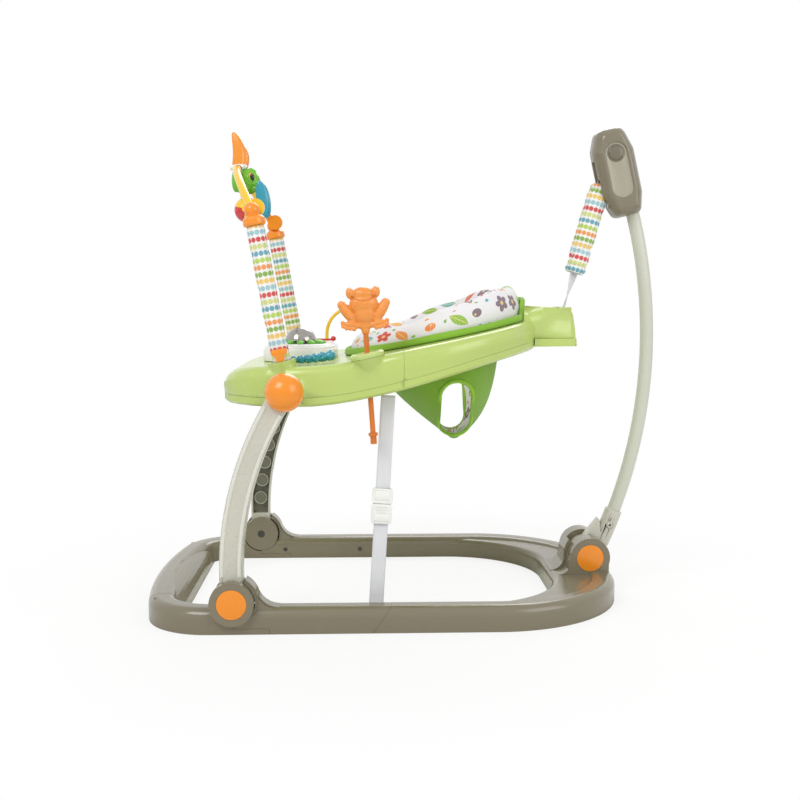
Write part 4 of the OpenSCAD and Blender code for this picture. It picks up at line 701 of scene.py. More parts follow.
def rollNose(work):
    edgeX = (noseLook["from"] - hingeShift) / 1000
    for _ in range(6):
        long = [e for e in work.edges
                if min(v.co.x for v in e.verts) < edgeX and e.calc_length() > noseLook["cell"]]
        bmesh.ops.subdivide_edges(work, edges=long, cuts=1)
        bmesh.ops.triangulate(work, faces=[f for f in work.faces if len(f.verts) > 3])
    for v in work.verts:
        v.co.z += noseDrop(v.co.x) * ramp((v.co.z - noseLook["seam"]) / noseLook["wall"])


def dropSkirt(work):
    top = max(v.co.z for v in work.verts)
    for v in work.verts:
        v.co.z += noseDrop(v.co.x) * ramp((top - noseLook["rim"] - v.co.z) / noseLook["skirt"])


for name in ("tray_front", "tray_rear", "tray_lower_front", "tray_lower_rear"):
    shape = rollNose if name == "tray_front" else None
    placed(mouldCopy(name, 28, shape=shape), "tray", "tray_plastic", name)
print("tray mouldings smoothed")

edgeLook = [("leg_plastic", 1.2, "front_leg_left front_leg_right"),
            ("housing_plastic", 1.5, "housing_left housing_right"),
            ("leg_plastic", 1.6, "post_socket"),
            ("orange_plastic", 0.7, "post_clips post_caps hub_caps"),
            ("buckle_plastic", 1.2, "buckle_socket buckle_plug")]
bodyOf = {name: body for body, held in frame["record"]["behaviour"]["bodies"].items() for name in held}
for slot, edge, names in edgeLook:
    for name in names.split():
        placed(mouldCopy(name, 30, edge), bodyOf[name], slot, name)
placed(mouldCopy("console_base", 30, 1.6, dropSkirt), "tray", "white_plastic", "console_base")
print("edges rounded")

# Seat pad
padLook = {"inner": 104, "outer": 165, "front": 36, "rear": 72, "stations": 150, "seams": [24, 84, 144, 204, 264, 324],
           "inset": 0.9, "cap": 0.009, "pressure": 4.0,
           "section": [(0, .18), (.05, .42), (.13, .66), (.28, .9), (.42, .98), (.56, 1), (.7, .92), (.83, .77), (.94, .56),
                       (1, .35), (1.0, .15), (.97, .02), (.8, 0), (.5, 0), (.2, 0), (.04, .03)]}


def padHeight(a):
    return mix(padLook["front"], padLook["rear"], ramp((1 + math.cos(a)) / 2)) + 2.5 * math.cos(8 * a)


def padRow(a, shrink):
    points = []
    for fr, fh in padLook["section"]:
        fr, fh = 0.5 + (fr - 0.5) * shrink, 0.42 + (fh - 0.42) * shrink if fh > 0.03 else fh
        r = mix(padLook["inner"], padLook["outer"], fr)
        x = 362 + r * math.cos(a)
        points.append(at(x, r * math.sin(a), trayTop(x) + 1.6 + fh * padHeight(a)))
    return points


def makePad():
    count = padLook["stations"]
    rows = [padRow(math.tau * i / count, padLook["inset"]) for i in range(count)]
    loop = padRow(math.pi / 2, 1.0)
    steps = [0]
    for a, b in zip(loop, loop[1:] + loop[:1]):
        steps.append(steps[-1] + (b - a).length)
    pad = gridPiece("seatPad", rows, ["padPrint"], (steps[-1], 0.9), closeEnds=True,
                    places=[v / steps[-1] for v in steps])
    held = pad.vertex_groups.new(name="held")
    around = len(padLook["section"])
    seamRows = [round(s / 360 * count) for s in padLook["seams"]]
    for i in range(count):
        for j, (fr, fh) in enumerate(padLook["section"]):
            if fh <= 0.03 or i in seamRows:
                held.add([i * around + j], 1.0, "REPLACE")
    start = [v.co.copy() for v in pad.data.vertices]
    swell = pad.modifiers.new("swell", "CLOTH")
    s = swell.settings
    s.use_pressure, s.uniform_pressure_force = True, padLook["pressure"]
    s.vertex_group_mass = "held"
    s.effector_weights.gravity = 0
    s.quality, s.mass = 5, 0.3
    s.tension_stiffness = s.compression_stiffness = 12
    s.bending_stiffness = 0.4
    swell.point_cache.frame_start, swell.point_cache.frame_end = 1, 20
    for step in range(1, 21):
        scene.frame_set(step)
    graph = bpy.context.evaluated_depsgraph_get()
    shaped = pad.evaluated_get(graph).data
    moved = []
    for v, before in zip(shaped.vertices, start):
        shift = v.co - before
        moved.append(before + shift * (min(shift.length, padLook["cap"]) / max(shift.length, 1e-9)))
    pad.modifiers.clear()
    for v, place in zip(pad.data.vertices, moved):
        v.co = place
    scene.frame_set(1)
    return subdivided(pad)


pad = makePad()
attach(pad, "tray")
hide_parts("seat_pad")
padTree = BVHTree.FromObject(pad, bpy.context.evaluated_depsgraph_get())


# The seams' lines are dropped on to the finished pad.
def padSeams():
    paths = []
    for seam in padLook["seams"]:
        for side in (-0.9, 0.9):
            a = math.radians(seam + side)
            path = []
            for point in padRow(a, 1.0)[1:11]:
                near = padTree.find_nearest(point)
                path.append(near[0] + near[1] * 0.0002)
            paths.append((path, False))
    return paths


padStitches = alongPaths("padStitches", "stitch", padSeams(), Pitch=0.0042, Length=0.0028, Width=0.0008,
                         Thread=look["whiteThread"])
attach(padStitches, "tray")
print("seat pad filled")

# Binding round the pad
bindLook = {"inner": 164.5, "outer": 174.5, "low": 0.9, "high": 14, "rise": 30, "stations": 180,
            "section": [(0, .1), (.35, 0), (.75, 0), (.97, .1), (1, .35), (.9, .65), (.72, .9), (.45, 1), (.2, .95), (0, .7)]}


def bindRow(a):
    points = []
    for fr, fh in bindLook["section"]:
        rise = bindLook["rise"] * ramp((math.cos(a) - 0.91) / 0.07)
        r = mix(bindLook["inner"], bindLook["outer"], fr) + 0.5 * math.sin(9 * a) * fr - 0.1 * rise
        x = 362 + r * math.cos(a)
        z = trayTop(x) + rise + mix(bindLook["low"], bindLook["high"], fh) + 0.6 * math.sin(7 * a) * fh
        points.append(at(x, r * math.sin(a), z))
    return points


count = bindLook["stations"]
binding = subdivided(gridPiece("padBinding", [bindRow(math.tau * i / count) for i in range(count)], ["bindingCloth"],
                               (0.05, 1.02), closeEnds=True))
bindTop = [bindRow(math.tau * i / count)[6] for i in range(count)]
bindStitches = alongPaths("bindingStitches", "stitch", [(bindTop, True)], Pitch=0.0046, Length=0.003, Width=0.0009,
                          Thread=look["thread"])
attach(binding, "tray")
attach(bindStitches, "tray")
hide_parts("pad_binding")
print("binding sewn")

# Seat sling
slingLook = {"rows": 44, "columns": 132, "depth": 195, "wall": 2.4, "hole": (395, 361), "holeHalf": 28, "holeTall": 50.5}


def slingPoint(t, a, inset):
    front = 362 - 127 + 44 * t + 112 * t * t + inset
    back = 362 + 127 - 30 * t - 54 * t ** 5 - inset
    half = 127 * (1 - 0.42 * t * t) * math.sqrt(max(0.06, 1 - t ** 6)) - inset
    fold = 1 + 8.8 * t * (1 - t) * math.cos(6 * a) / 120
    x = (front + back) / 2 + (back - front) / 2 * math.cos(a) * fold
    z = mix(trayTop(x) + 1, trayTop(362) - slingLook["depth"], t)
    return at(x, half * math.sin(a) * fold, z + inset * t)


def makeSling():
    down, across = slingLook["rows"], slingLook["columns"]
    steps = [k / down for k in range(down + 1)]
    turns = [math.tau * c / across for c in range(across)]
    rows = [[slingPoint(t, a, slingLook["wall"]) for a in turns] for t in reversed(steps)]
    rows += [[slingPoint(t, a, 0) for a in turns] for t in steps]
    sling = gridPiece("seatSling", rows, ["slingCloth", "padPrint", "slingTape"], (0.8, 0.5), capped=True,
                      finishAt=lambda r, c: 1 if r <= down else 0)
    work = bmesh.new()
    outline = []
    half, tall = slingLook["holeHalf"], slingLook["holeTall"] - slingLook["holeHalf"]
    for i in range(48):
        a = math.tau * (i + 0.5) / 48
        shift = tall if math.sin(a) > 0 else -tall
        outline.append((slingLook["hole"][0] + half * math.cos(a), slingLook["hole"][1] + half * math.sin(a) + shift))
    near = [work.verts.new(at(x, -200, z)) for x, z in outline]
    far = [work.verts.new(at(x, 200, z)) for x, z in outline]
    work.faces.new(near)
    work.faces.new(far[::-1])
    for i in range(48):
        work.faces.new((near[i], far[i], far[(i + 1) % 48], near[(i + 1) % 48]))
    bmesh.ops.recalc_face_normals(work, faces=work.faces)
    mesh = bpy.data.meshes.new("legCutter")
    work.to_mesh(mesh)
    work.free()
    cutter = asObject("legCutter", mesh, ["slingTape"], smooth=False)
    cut = sling.modifiers.new("legHoles", "BOOLEAN")
    cut.object, cut.operation, cut.solver = cutter, "DIFFERENCE", "EXACT"
    cut.material_mode = "TRANSFER"
    settled(sling)
    bpy.data.objects.remove(cutter)
    return sling, outline


sling, holeOutline = makeSling()
sharpened(sling, 50)
slingTree = BVHTree.FromObject(sling, bpy.context.evaluated_depsgraph_get())


def holeTape(side):
    path = []
    for x, z in holeOutline:
        out = Vector((x - slingLook["hole"][0], 0, z - slingLook["hole"][1]))
        wide = out * (1 + 4 / out.length)
        spot = at(slingLook["hole"][0] + wide.x, side * 220, slingLook["hole"][1] + wide.z)
        hit = slingTree.ray_cast(spot, Vector((0, -side, 0)))
        if hit[0] is not None:
            path.append(hit[0])
    return (path, True)


tape = alongPaths("legTape", "piping", [holeTape(-1), holeTape(1)], Radius=0.0036, Sides=10, Spacing=0.004,
                  Cover=look["slingTape"])
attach(sling, "tray")
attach(tape, "tray")
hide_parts("seat_sling")
print("sling hung")

# Sleeves
sleeveLook = {"around": 56, "ripple": 0.55, "gather": 10.4}


def sleevePiece(name, foot, direction, length, radius, across, rows, necks, folds=()):
    foot, direction = Vector(foot), Vector(direction).normalized()
    side = Vector((0, 1, 0))
    front = side.cross(direction)
    rings = []
    for k in range(rows + 1):
        t = k / rows
        v = t * length
        r = radius - sleeveLook["ripple"] * (0.5 + 0.5 * math.cos(math.tau * v / sleeveLook["gather"]))
        r *= mix(necks[0], 1, ramp(v / 8)) * mix(necks[1], 1, ramp((length - v) / 8))
        ring = []
        for c in range(across):
            a = math.tau * c / across
            pull = 0.4 * math.sin(3 * a + 0.11 * v)
            pull += 0.35 * noise.noise(Vector((math.cos(a) * 2, math.sin(a) * 2, v / 14)))
            for place, slant, turn, deep, wide in folds:
                pull -= deep * math.exp(-((v - place - slant * math.sin(a + turn)) / wide) ** 2)
            p = foot + direction * v + (front * math.cos(a) + side * math.sin(a)) * (r + pull - 0.4)
            ring.append(at(*p))
        rings.append(ring)
    sleeve = gridPiece(name, rings, ["sleeveDots"], (math.tau * radius / 1000, length / 1000))
    wall = sleeve.modifiers.new("wall", "SOLIDIFY")
    wall.thickness, wall.offset = 0.0012, -1
    return settled(sleeve)


toyLean = Vector((-math.sin(math.radians(10.5)), 0, math.cos(math.radians(10.5))))
toyFolds = [(70, 6, 0.4, 0.9, 4), (128, -7, 1.7, 1.0, 4), (196, 5, 2.6, 0.9, 4)]
for side, label in ((-1, "left"), (1, "right")):
    foot = Vector((86, side * 222, 444)) + toyLean * 7
    sleeve = sleevePiece("toySleeve_" + label, foot, toyLean, 242, 16.4, 56, 120, (0.95, 0.95), toyFolds)
    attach(sleeve, "tray")
    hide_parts("post_sleeve_" + label)
print("sleeves pulled on")

springAxis = Vector((-0.27642, 0, -0.961037))
springPin = Vector((678.49, 0, 787.01))
springFolds = [(16, 4, 0.5, 2.6, 3.5), (38, 15, 2.1, 3.4, 4.5), (92, 8, 0.2, 1.5, 4), (124, -9, 2.8, 1.4, 4),
               (152, 11, 3.9, 3.2, 4.5), (166, 4, 1.2, 2.2, 3)]
springSleeve = sleevePiece("springSleeve", springPin + springAxis * 180, -springAxis, 174, 20.6, 64, 130, (0.84, 0.6),
                           springFolds)
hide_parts("spring_sleeve")


# Webbing: a flat strip along a path, with its width direction at each point.
def strip(name, path, wide, width, thick):
    rings = []
    for index, (p, w) in enumerate(zip(path, wide)):
        ahead = (path[min(index + 1, len(path) - 1)] - path[max(index - 1, 0)]).normalized()
        w = w.normalized()
        up = ahead.cross(w).normalized()
        ring = []
        for face in (1, -1):
            for k in range(9):
                high = thick * 0.5 * math.sqrt(max(0.15, 1 - (k / 4 - 1) ** 8))
                ring.append(p + face * (w * width * (k / 8 - 0.5) + up * high))
        rings.append([at(*q) for q in ring])
    length = sum((b - a).length for a, b in zip(path, path[1:]))
    return gridPiece(name, rings, ["webbing"], (2 * (width + thick) / 1000, length / 1000), capped=True)


strapPath = [springPin + springAxis * mix(170, 259, k / 30) for k in range(31)]
strapTurns = [math.radians(mix(62, 0, ramp(k / 26))) for k in range(31)]
strapWide = [Matrix.Rotation(turn, 3, springAxis) @ Vector((0, 1, 0)) for turn in strapTurns]
strap = strip("springStrap", strapPath, strapWide, 18, 2.5)
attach(strap, "spring_lower")
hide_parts("spring_strap")
sleeveEnds = [tuple(at(*(springPin + springAxis * far))) for far in (14, 188)]
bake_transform(springSleeve)
print("spring dressed")

# Figures on the tray
joints = {joint["name"]: joint for joint in frame["record"]["behaviour"]["joints"]}


def jointPlace(name):
    return Vector(joints[name]["pos_m"])


def mirrored(lumps):
    return [((x * s, y, z), radii, turnY * s, turnX) for (x, y, z), radii, turnY, turnX in lumps for s in (-1, 1)]


# Frog: millimetres from the top of its stem, seen from the near side.
frogLook = {"voxel": 1.0, "lean": -4, "up": 0.049, "smile": 47, "lift": 7, "span": 19, "groove": 2.4}
frogLumps = [((0, 0, 58), (20, 14, 13), 0, 0), ((0, 0, 42), (25, 16, 19), 0, 0), ((0, 0, 26), (19, 14.5, 20), 0, 0),
             ((0, 0, 11), (12, 9, 10), 0, 0), ((0, 0, 4), (14, 8, 6), 0, 0), ((0, 0, -3), (7.5, 7.5, 8), 0, 0)]
frogSide = [((22, -2, 61), (7.6, 9, 10.5), 6, 0)]
frogSide += [((mix(37.5, 20, t), 0, mix(42, 16, t)), (7.6 + 2 * math.sin(math.pi * t),) * 3, 0, 0)
             for t in (0, .2, .4, .6, .8, 1)]
frogSide += [((24, -4, 8.5), (14, 6, 5.2), -6, 0), ((16, -2, 6), (10, 7, 6), 0, 0)]
frogSide += [((x, -6, z), (3.7, 4, 3.7), 0, 0) for x, z in ((38, 12), (37.5, 6), (32, 2.5), (25.5, 1.5), (19, 0))]
frogLumps += mirrored(frogSide)


def frogCarve(co, normal):
    shift = Vector((0, 0, 0))
    line = frogLook["smile"] + frogLook["lift"] * (co.x / frogLook["span"]) ** 2
    if abs(co.x) < frogLook["span"] + 2 and normal.y < -0.2:
        shift += normal * -frogLook["groove"] * math.exp(-((co.z - line) / 0.9) ** 2)
    for s in (-1, 1):
        rim = math.hypot((co.x - s * 22) / 7.6, (co.z - 61) / 10.5)
        shift += normal * -0.9 * math.exp(-((rim - 0.95) / 0.12) ** 2) * (co.z > 46) * (normal.y < 0.2)
    if normal.y < 0 and co.z > 24:
        spot = noise.noise(Vector((co.x, co.y, co.z)) / 3.4)
        shift += normal * -0.35 * max(0, spot - 0.3) / 0.4
    return shift


frogAt = Matrix.Translation(jointPlace("frog_sway")) @ Matrix.Rotation(math.radians(frogLook["lean"]), 4, "Y")
frogAt = frogAt @ Matrix.Translation((0, 0, frogLook["up"]))
frog = skinned("frogToy", frogLumps, frogAt, frogLook["voxel"], "frogPlastic", carve=frogCarve)
placed(frog, "frog", "frog_plastic", "frog_toy")
print("frog shaped")

# Bird: millimetres from the bar that it hangs on.
birdLook = {"voxel": 1.0, "bore": 8.2, "eye": (26, 13.6, -15), "beakFoot": (1, 5), "beakTip": (-8, 70), "beakHalf": 13.6,
            "lowerTip": (4, 50), "wing": (46, 28, -55), "wingTurn": -8}
birdAt = Matrix.Translation(jointPlace("toucan_swing"))
birdBody = [((15, 0, -22), (26, 17, 24.5), -12, 0), ((-4, 0, -17), (9.5, 13, 25), 3, 0), ((2, 0, -5), (14, 13, 9), 0, 0),
            ((25, 0, -3), (9, 7, 7), 24, 0)]
birdBody += [((30, s * 20, -36), (4, 9, 4), 0, 0) for s in (-1, 1)]


def birdCarve(co, normal):
    fringe = math.sin(co.x * 0.5 + 0.2 * co.z)
    rim = (Vector((co.x, abs(co.y), co.z)) - Vector(birdLook["eye"])).length
    return normal * (-0.3 * max(0, fringe) * ramp((-co.z - 30) / 10) - 0.7 * math.exp(-((rim - 10) / 1.0) ** 2))


bird = skinned("birdBody", birdBody, birdAt, birdLook["voxel"], "birdGreen", carve=birdCarve, bore=birdLook["bore"])
placed(bird, "toucan", "green_plastic", "toucan_body")


# The beak is a loft with a ridge along each side; the lower bill is a shorter one behind it.
def beakPiece(name, foot, tip, half, flat, rows, crease):
    rings = []
    for k in range(rows + 1):
        t = k / rows
        bend = math.sin(math.pi * t) * 5
        cx, cz = mix(foot[0], tip[0], t) + bend, mix(foot[1], tip[1], t)
        w = half * math.sqrt(max(0.004, 1 - (t * 0.985) ** 2.2))
        ring = []
        for c in range(48):
            a = math.tau * c / 48
            sides = [math.sin(a / 2 + turn) / 0.1 for turn in (-math.pi / 4, math.pi / 4)]
            ridge = 1 - crease * sum(math.exp(-s ** 2) for s in sides)
            ring.append(birdAt @ (Vector((cx + w * math.cos(a) * ridge, w * flat * math.sin(a) * ridge, cz)) / 1000))
        rings.append(ring)
    return gridPiece(name, rings, ["beakPlastic"], (0.08, 0.07), capped=True)


beak = beakPiece("birdBeak", birdLook["beakFoot"], birdLook["beakTip"], birdLook["beakHalf"], 0.8, 40, 0.1)
bill = beakPiece("birdLowerBill", (7, 4), birdLook["lowerTip"], 10.5, 0.72, 30, 0.06)
placed(beak, "toucan", "orange_plastic", "toucan_beak")
placed(bill, "toucan", "orange_plastic")
collar = skinned("birdCollar", [((0.6, 0, 5), (17.4, 16.4, 7), -6, 0)], birdAt, 0.8, "whitePlastic", smoothing=2,
                 carve=lambda co, n: n * 0.5 * math.sin(math.atan2(co.y, co.x) * 12), bore=birdLook["bore"])
placed(collar, "toucan", "white_plastic")
ex, ey, ez = birdLook["eye"]
eyeRims = [((ex - 1.6, s * (ey - 1.2), ez), (6.4, 3, 9.2), -8, 0) for s in (-1, 1)]
eyeBalls = [((ex + 0.4, s * ey, ez + 0.4), (4.4, 3, 7.6), -8, 0) for s in (-1, 1)]
placed(skinned("birdEyeRims", eyeRims, birdAt, 0.7, "orangePlastic"), "toucan", "orange_plastic")
placed(skinned("birdEyes", eyeBalls, birdAt, 0.6, "eyeBlack"), "toucan", "liner_plastic")
wx, wy, wz = birdLook["wing"]
wingLumps = []
for s in (-1, 1):
    wingLumps += [((wx, s * wy, wz), (11.5, 3, 34), birdLook["wingTurn"], 0),
                  ((wx - 2, s * wy, wz - 20), (7, 2.4, 15), 8, 0)]


def wingCarve(co, normal):
    if abs(normal.y) < 0.3:
        return Vector((0, 0, 0))
    feather = math.sin((co.x - wx) * 0.8 + (co.z - wz) * 0.14)
    return normal * -0.6 * max(0, feather - 0.5)


wings = skinned("birdWings", wingLumps, birdAt, 0.9, "tealPlastic", carve=wingCarve)
placed(wings, "toucan", "teal_plastic", "toucan_wings")
print("bird shaped")

# Row of knobbly beads along the console's edge
beadLook = {"from": (100, -172), "step": 13, "count": 6, "radius": (6, 9.6), "knob": 2.5, "knobs": 17,
            "up": 2.5, "voxel": 0.7}
beadLumps = []
for k in range(beadLook["count"]):
    beadRound = mix(*beadLook["radius"], k / (beadLook["count"] - 1))
    x = beadLook["from"][0] + beadLook["step"] * k
    middle = Vector((x, beadLook["from"][1], trayTop(x) + beadLook["up"] + beadRound))
    beadLumps.append((middle, (beadRound, beadRound * 0.9, beadRound * 0.92), 0, 0))
    for n in range(beadLook["knobs"]):
        high = 1 - 2 * (n + 0.5) / beadLook["knobs"]
        turn = n * 2.39996 + k
        flat = math.sqrt(1 - high * high)
        spot = Vector((flat * math.cos(turn), high, flat * math.sin(turn))) * beadRound * 0.84
        beadLumps.append((middle + spot, (beadLook["knob"],) * 3, 0, 0))
rowAt = Matrix.Translation((-hingeShift / 1000, 0, 0))
beads = skinned("beadRow", beadLumps, rowAt, beadLook["voxel"], "tealPlastic", smoothing=9, fine=3)
placed(beads, "tray", "teal_plastic", "bead_worm")

# Ring of leaves round the dome
leafLook = {"middle": Vector((105, -26, 486)), "count": 11, "from": 30, "step": 3.6, "wide": 7.5,
            "thick": 3.6, "droop": 0.9}
leafLumps = []
for k in range(leafLook["count"]):
    turn = math.tau * (k + 0.3) / leafLook["count"]
    for part in range(5):
        reach = leafLook["from"] + part * leafLook["step"]
        wide = leafLook["wide"] * math.sin(math.pi * (part + 0.9) / 6)
        out = Vector((reach * math.cos(turn), reach * math.sin(turn), -part * leafLook["droop"]))
        leafLumps.append((leafLook["middle"] + out, (wide, wide, leafLook["thick"]), 0, 0))


def leafCarve(co, normal):
    out = co - leafLook["middle"]
    turn = math.atan2(out.y, out.x)
    rib = math.sin(math.hypot(out.y, out.x) * 1.5 - abs(math.sin(turn * leafLook["count"] / 2)) * 3)
    return Vector((0, 0, -0.5 * max(0, rib))) * (normal.z > 0.3)


leaves = skinned("leafRing", leafLumps, rowAt, 1.0, "leafGreen", smoothing=3, carve=leafCarve, fine=2)
placed(leaves, "tray", "green_plastic", "leaf_collar")
print("console dressed")

# Beads along the legs' edges and rings on the liners' ribs, each in a paler copy of its own plastic: painted highlight
# on the raised rims and ribs
legLook = {"centre": (547.737, 103.839), "bend": 550, "from": 149.8, "to": 180.6, "rims": (-14.6, 14.6),
           "face": 284.2, "bead": 0.0034, "ribs": 7, "ribFrom": 152.55, "ribTo": 177.2, "ring": 13.1, "ringFace": 258.4, "wire": 0.0012}


def onLeg(angle, offset, y):
    a, r = math.radians(angle), legLook["bend"] + offset
    return at(legLook["centre"][0] + r * math.cos(a), y, legLook["centre"][1] + r * math.sin(a))


def legRims():
    paths = []
    for side in (-1, 1):
        for rim in legLook["rims"]:
            angles = [mix(legLook["from"], legLook["to"], k / 60) for k in range(61)]
            paths.append(([onLeg(a, rim, side * legLook["face"]) for a in angles], False))
    return paths


def linerRings():
    paths = []
    for side in (-1, 1):
        for k in range(legLook["ribs"]):
            angle = mix(legLook["ribFrom"], legLook["ribTo"], k / (legLook["ribs"] - 1))
            middle = onLeg(angle, 0, side * legLook["ringFace"])
            turns = [math.tau * c / 36 for c in range(36)]
            ring = [middle + Vector((math.cos(a), 0, math.sin(a))) * legLook["ring"] / 1000 for a in turns]
            paths.append((ring, True))
    return paths


# The rim beads are paler than the leg they sit on: painted highlight.
legBeads = alongPaths("legRims", "piping", legRims(), Radius=legLook["bead"], Sides=14, Spacing=0.008,
                      Cover=look["legRimPaintedHighlight"])
# The rib rings are paler than the liner they sit on: painted highlight.
ribRings = alongPaths("linerRings", "piping", linerRings(), Radius=legLook["wire"], Sides=8, Spacing=0.0024,
                      Cover=look["linerRingPaintedHighlight"])
placed(legBeads, "front_legs", "leg_plastic")
placed(ribRings, "front_legs", "liner_plastic")
print("legs trimmed")

# Tether: webbing folded round the anchor's pin, sewn, and up to the tray on the buckle's other side
tetherLook = {"foot": (244, -230, 24), "head": (267, -206, 405.03), "width": 25, "thick": 2, "pin": 5.2, "fold": 62,
              "low": 158, "high": 206, "buckle": 182, "slack": 0.8, "gap": 1.15, "part": 26}
tetherUp = (Vector(tetherLook["head"]) - Vector(tetherLook["foot"])).normalized()
tetherAt = Matrix.Translation(tetherLook["foot"]) @ Vector((0, 0, 1)).rotation_difference(tetherUp).to_matrix().to_4x4()
tetherLength = (Vector(tetherLook["head"]) - Vector(tetherLook["foot"])).length


def tetherStrip(name, points):
    path = [tetherAt @ Vector((0, y, z)) for y, z in points]
    wide = [tetherAt.to_3x3() @ Vector((1, 0, 0))] * len(path)
    return strip(name, path, wide, tetherLook["width"], tetherLook["thick"])


pin, fold = tetherLook["pin"], tetherLook["fold"]
gap, part = tetherLook["gap"], tetherLook["part"]
lowRun = [(gap, mix(fold, part, k / 8)) for k in range(9)]
lowRun += [(mix(gap, pin, ramp(k / 8)), mix(part, 0, k / 8)) for k in range(1, 9)]
lowRun += [(pin * math.cos(math.pi * k / 12), -pin * math.sin(math.pi * k / 12)) for k in range(1, 12)]
lowRun += [(-mix(pin, gap, ramp(k / 8)), mix(0, part, k / 8)) for k in range(9)]
lowRun += [(-mix(gap, 0, ramp((z - fold) / 30)), z) for z in range(part + 6, tetherLook["low"] + 1, 6)]
highRun = [(0.6 * math.sin(k / 30 * math.pi), mix(tetherLook["high"], tetherLength - 6.5, k / 30)) for k in range(31)]
lowWeb, highWeb = tetherStrip("tetherLow", lowRun), tetherStrip("tetherHigh", highRun)
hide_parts("tether_web")
placed(highWeb, "tether", "webbing")


# The lower run is baked where it lies round its pin, and the upper run gets a mesh of its own.
def onTether(z):
    return tuple(at(*(tetherAt @ Vector((0, 0, z)))))


onTether(12)
onTether(110)
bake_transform(lowWeb)
onTether(tetherLook["high"])
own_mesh(highWeb)


def tetherSeams():
    paths = []
    for z in (34, 38, 52, 56):
        paths.append(([at(*(tetherAt @ Vector((x, -2.25, z)))) for x in (-10.5, -3.5, 3.5, 10.5)], False))
    for x in (-10.5, 10.5):
        paths.append(([at(*(tetherAt @ Vector((x, -2.25, z)))) for z in (34, 42, 50, 56)], False))
    return paths


sewn = alongPaths("tetherStitches", "stitch", tetherSeams(), Pitch=0.0031, Length=0.0022, Width=0.0007,
                  Thread=look["whiteThread"])
onTether(12)
onTether(110)
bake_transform(sewn)


# Plates: an outline carried through a thickness, with its edges eased
def platePiece(name, outlines, toRow, finish):
    work = bmesh.new()
    for outline, low, high, ease in outlines:
        centre = sum((Vector(q) for q in outline), Vector((0, 0))) / len(outline)
        rings = []
        for share, pull in ((0, ease), (0.12, ease * 0.3), (0.25, 0), (0.75, 0), (0.88, ease * 0.3), (1, ease)):
            y = mix(low, high, share)
            ring = []
            for q in outline:
                out = Vector(q) - centre
                spot = centre + out * (1 - pull / max(out.length, 1e-6))
                ring.append(work.verts.new(at(*(toRow @ Vector((spot.x, y, spot.y))))))
            rings.append(ring)
        for a, b in zip(rings, rings[1:]):
            for c in range(len(a)):
                work.faces.new((a[c], a[(c + 1) % len(a)], b[(c + 1) % len(a)], b[c]))
        work.faces.new(rings[0])
        work.faces.new(rings[-1])
    bmesh.ops.recalc_face_normals(work, faces=work.faces)
    mesh = bpy.data.meshes.new(name)
    work.to_mesh(mesh)
    work.free()
    return sharpened(asObject(name, mesh, [finish]), 50)


def roundedOutline(x0, x1, z0, z1, r, steps=6):
    corners = [(x1 - r, z1 - r, 0), (x0 + r, z1 - r, 90), (x0 + r, z0 + r, 180), (x1 - r, z0 + r, 270)]
    return [(cx + r * math.cos(math.radians(a + 90 * k / steps)), cz + r * math.sin(math.radians(a + 90 * k / steps)))
            for cx, cz, a in corners for k in range(steps + 1)]


mid = tetherLook["buckle"]
faces = []
for side in (-1, 1):
    near, far = sorted((side * 2.2, side * 6.4))
    faces += [(roundedOutline(-13.5, 13.5, mid - 27.5, mid - 9.5, 3), near, far, 0.9),
              (roundedOutline(-13.5, 13.5, mid + 9.5, mid + 27.5, 3), near, far, 0.9)]
    near, far = sorted((side * 5.6, side * 7))
    faces += [(roundedOutline(-9, 9, mid - 12 + 5 * k, mid - 9.6 + 5 * k, 1.1), near, far, 0.4) for k in range(3)]
buckleFaces = platePiece("buckleFaces", faces, tetherAt, "buckle")
placed(buckleFaces, "tether", "buckle_plastic")
print("tether sewn")

# Camera
eye = bpy.data.cameras.new("photoView")
eye.lens, eye.sensor_width = 48.87, 36
eye.dof.use_dof = False
camera = bpy.data.objects.new("photoView", eye)
camera.location = (-0.0794, -2.090, 0.5776)
camera.rotation_euler = (math.radians(90 - 5.679), 0, math.radians(-1.889))
scene.collection.objects.link(camera)
scene.camera = camera

# Floor, light and world
floorLook = {"size": 14, "colour": "#f7f7f6", "near": 0.8, "far": 1.0, "reach": (0.45, 1.05)}


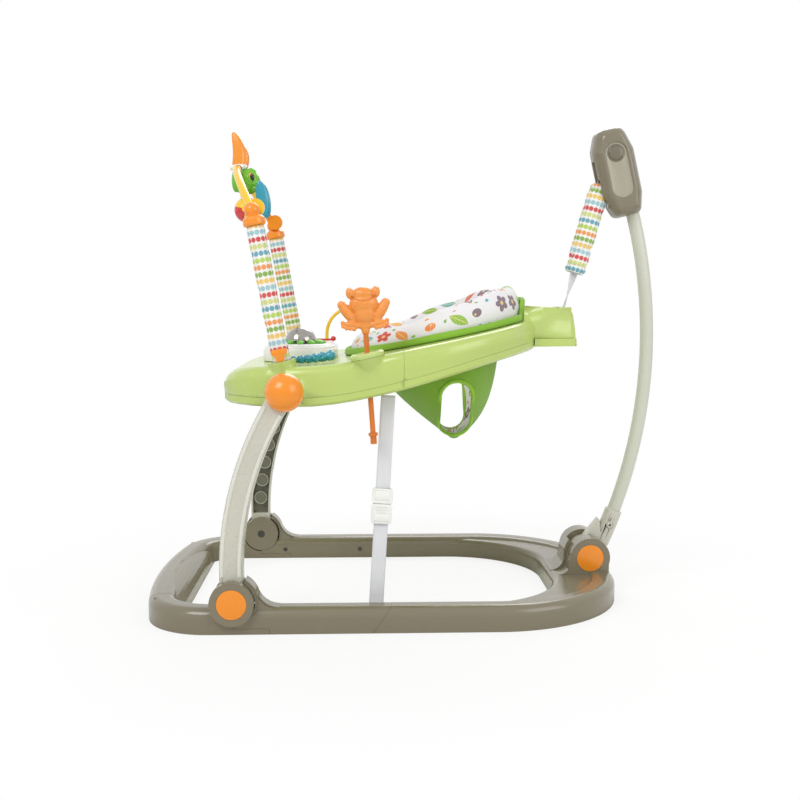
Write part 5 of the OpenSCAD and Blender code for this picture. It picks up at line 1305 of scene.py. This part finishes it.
def whiteFloor():
    f = Finish("studioFloor", Roughness=0.9)
    where = f.place()
    f.put("Base Color", f.mixed(f.noise(where, 3, 2), tint(floorLook["colour"], 0.98), tint(floorLook["colour"])))
    rays = f.node("LightPath", out="Is Camera Ray")
    white = f.node("Emission", inputs={"Color": (1, 1, 1, 1), "Strength": 1.0})
    away = f.soft(f.node("VectorMath", {"operation": "LENGTH"}, {0: where}, out=1), *floorLook["reach"])
    lift = away * (floorLook["far"] - floorLook["near"]) + floorLook["near"]  # the shadow fades out to plain white
    blend = f.node("MixShader", inputs={0: rays * lift, 1: Val(f, f.shader.outputs[0]), 2: white})
    f.tree.links.new(blend.socket, f.tree.nodes["Material Output"].inputs["Surface"])
    return f.material


look["floor"] = whiteFloor()
half = floorLook["size"] / 2
floorMesh = bpy.data.meshes.new("studioFloor")
corners = [(x * half, y * half, -0.0004) for x, y in ((-1, -1), (1, -1), (1, 1), (-1, 1))]
floorMesh.from_pydata(corners, [], [(0, 1, 2, 3)])
asObject("studioFloor", floorMesh, ["floor"], smooth=False)

lampLook = [("key", (-1.5, -1.9, 2.5), 1.5, 40), ("fill", (1.9, -1.6, 1.5), 1.6, 19),
            ("rim", (0.4, 1.9, 2.2), 1.4, 23)]
for name, spot, size, power in lampLook:
    lamp = bpy.data.lights.new(name, "AREA")
    lamp.shape, lamp.size, lamp.energy = "SQUARE", size, power
    holder = bpy.data.objects.new(name, lamp)
    holder.location = spot
    holder.rotation_euler = (Vector((0, 0, 0.4)) - Vector(spot)).to_track_quat("-Z", "Y").to_euler()
    scene.collection.objects.link(holder)

world = scene.world or bpy.data.worlds.new("studio")
scene.world = world
world.use_nodes = True
tree = world.node_tree
back = tree.nodes["Background"]
back.inputs["Color"].default_value = (1, 1, 1, 1)
rays = tree.nodes.new("ShaderNodeLightPath")
seen = tree.nodes.new("ShaderNodeMath")
seen.operation = "MAXIMUM"
through = tree.nodes.new("ShaderNodeMath")
through.operation = "MAXIMUM"
level = tree.nodes.new("ShaderNodeMapRange")
level.inputs["To Min"].default_value, level.inputs["To Max"].default_value = 0.55, 1.0
tree.links.new(rays.outputs["Is Camera Ray"], seen.inputs[0])
tree.links.new(rays.outputs["Is Transmission Ray"], seen.inputs[1])
tree.links.new(seen.outputs[0], through.inputs[0])
tree.links.new(rays.outputs["Is Glossy Ray"], through.inputs[1])
tree.links.new(through.outputs[0], level.inputs["Value"])
tree.links.new(level.outputs[0], back.inputs["Strength"])
scene.view_settings.view_transform = "Standard"
print("stage lit")
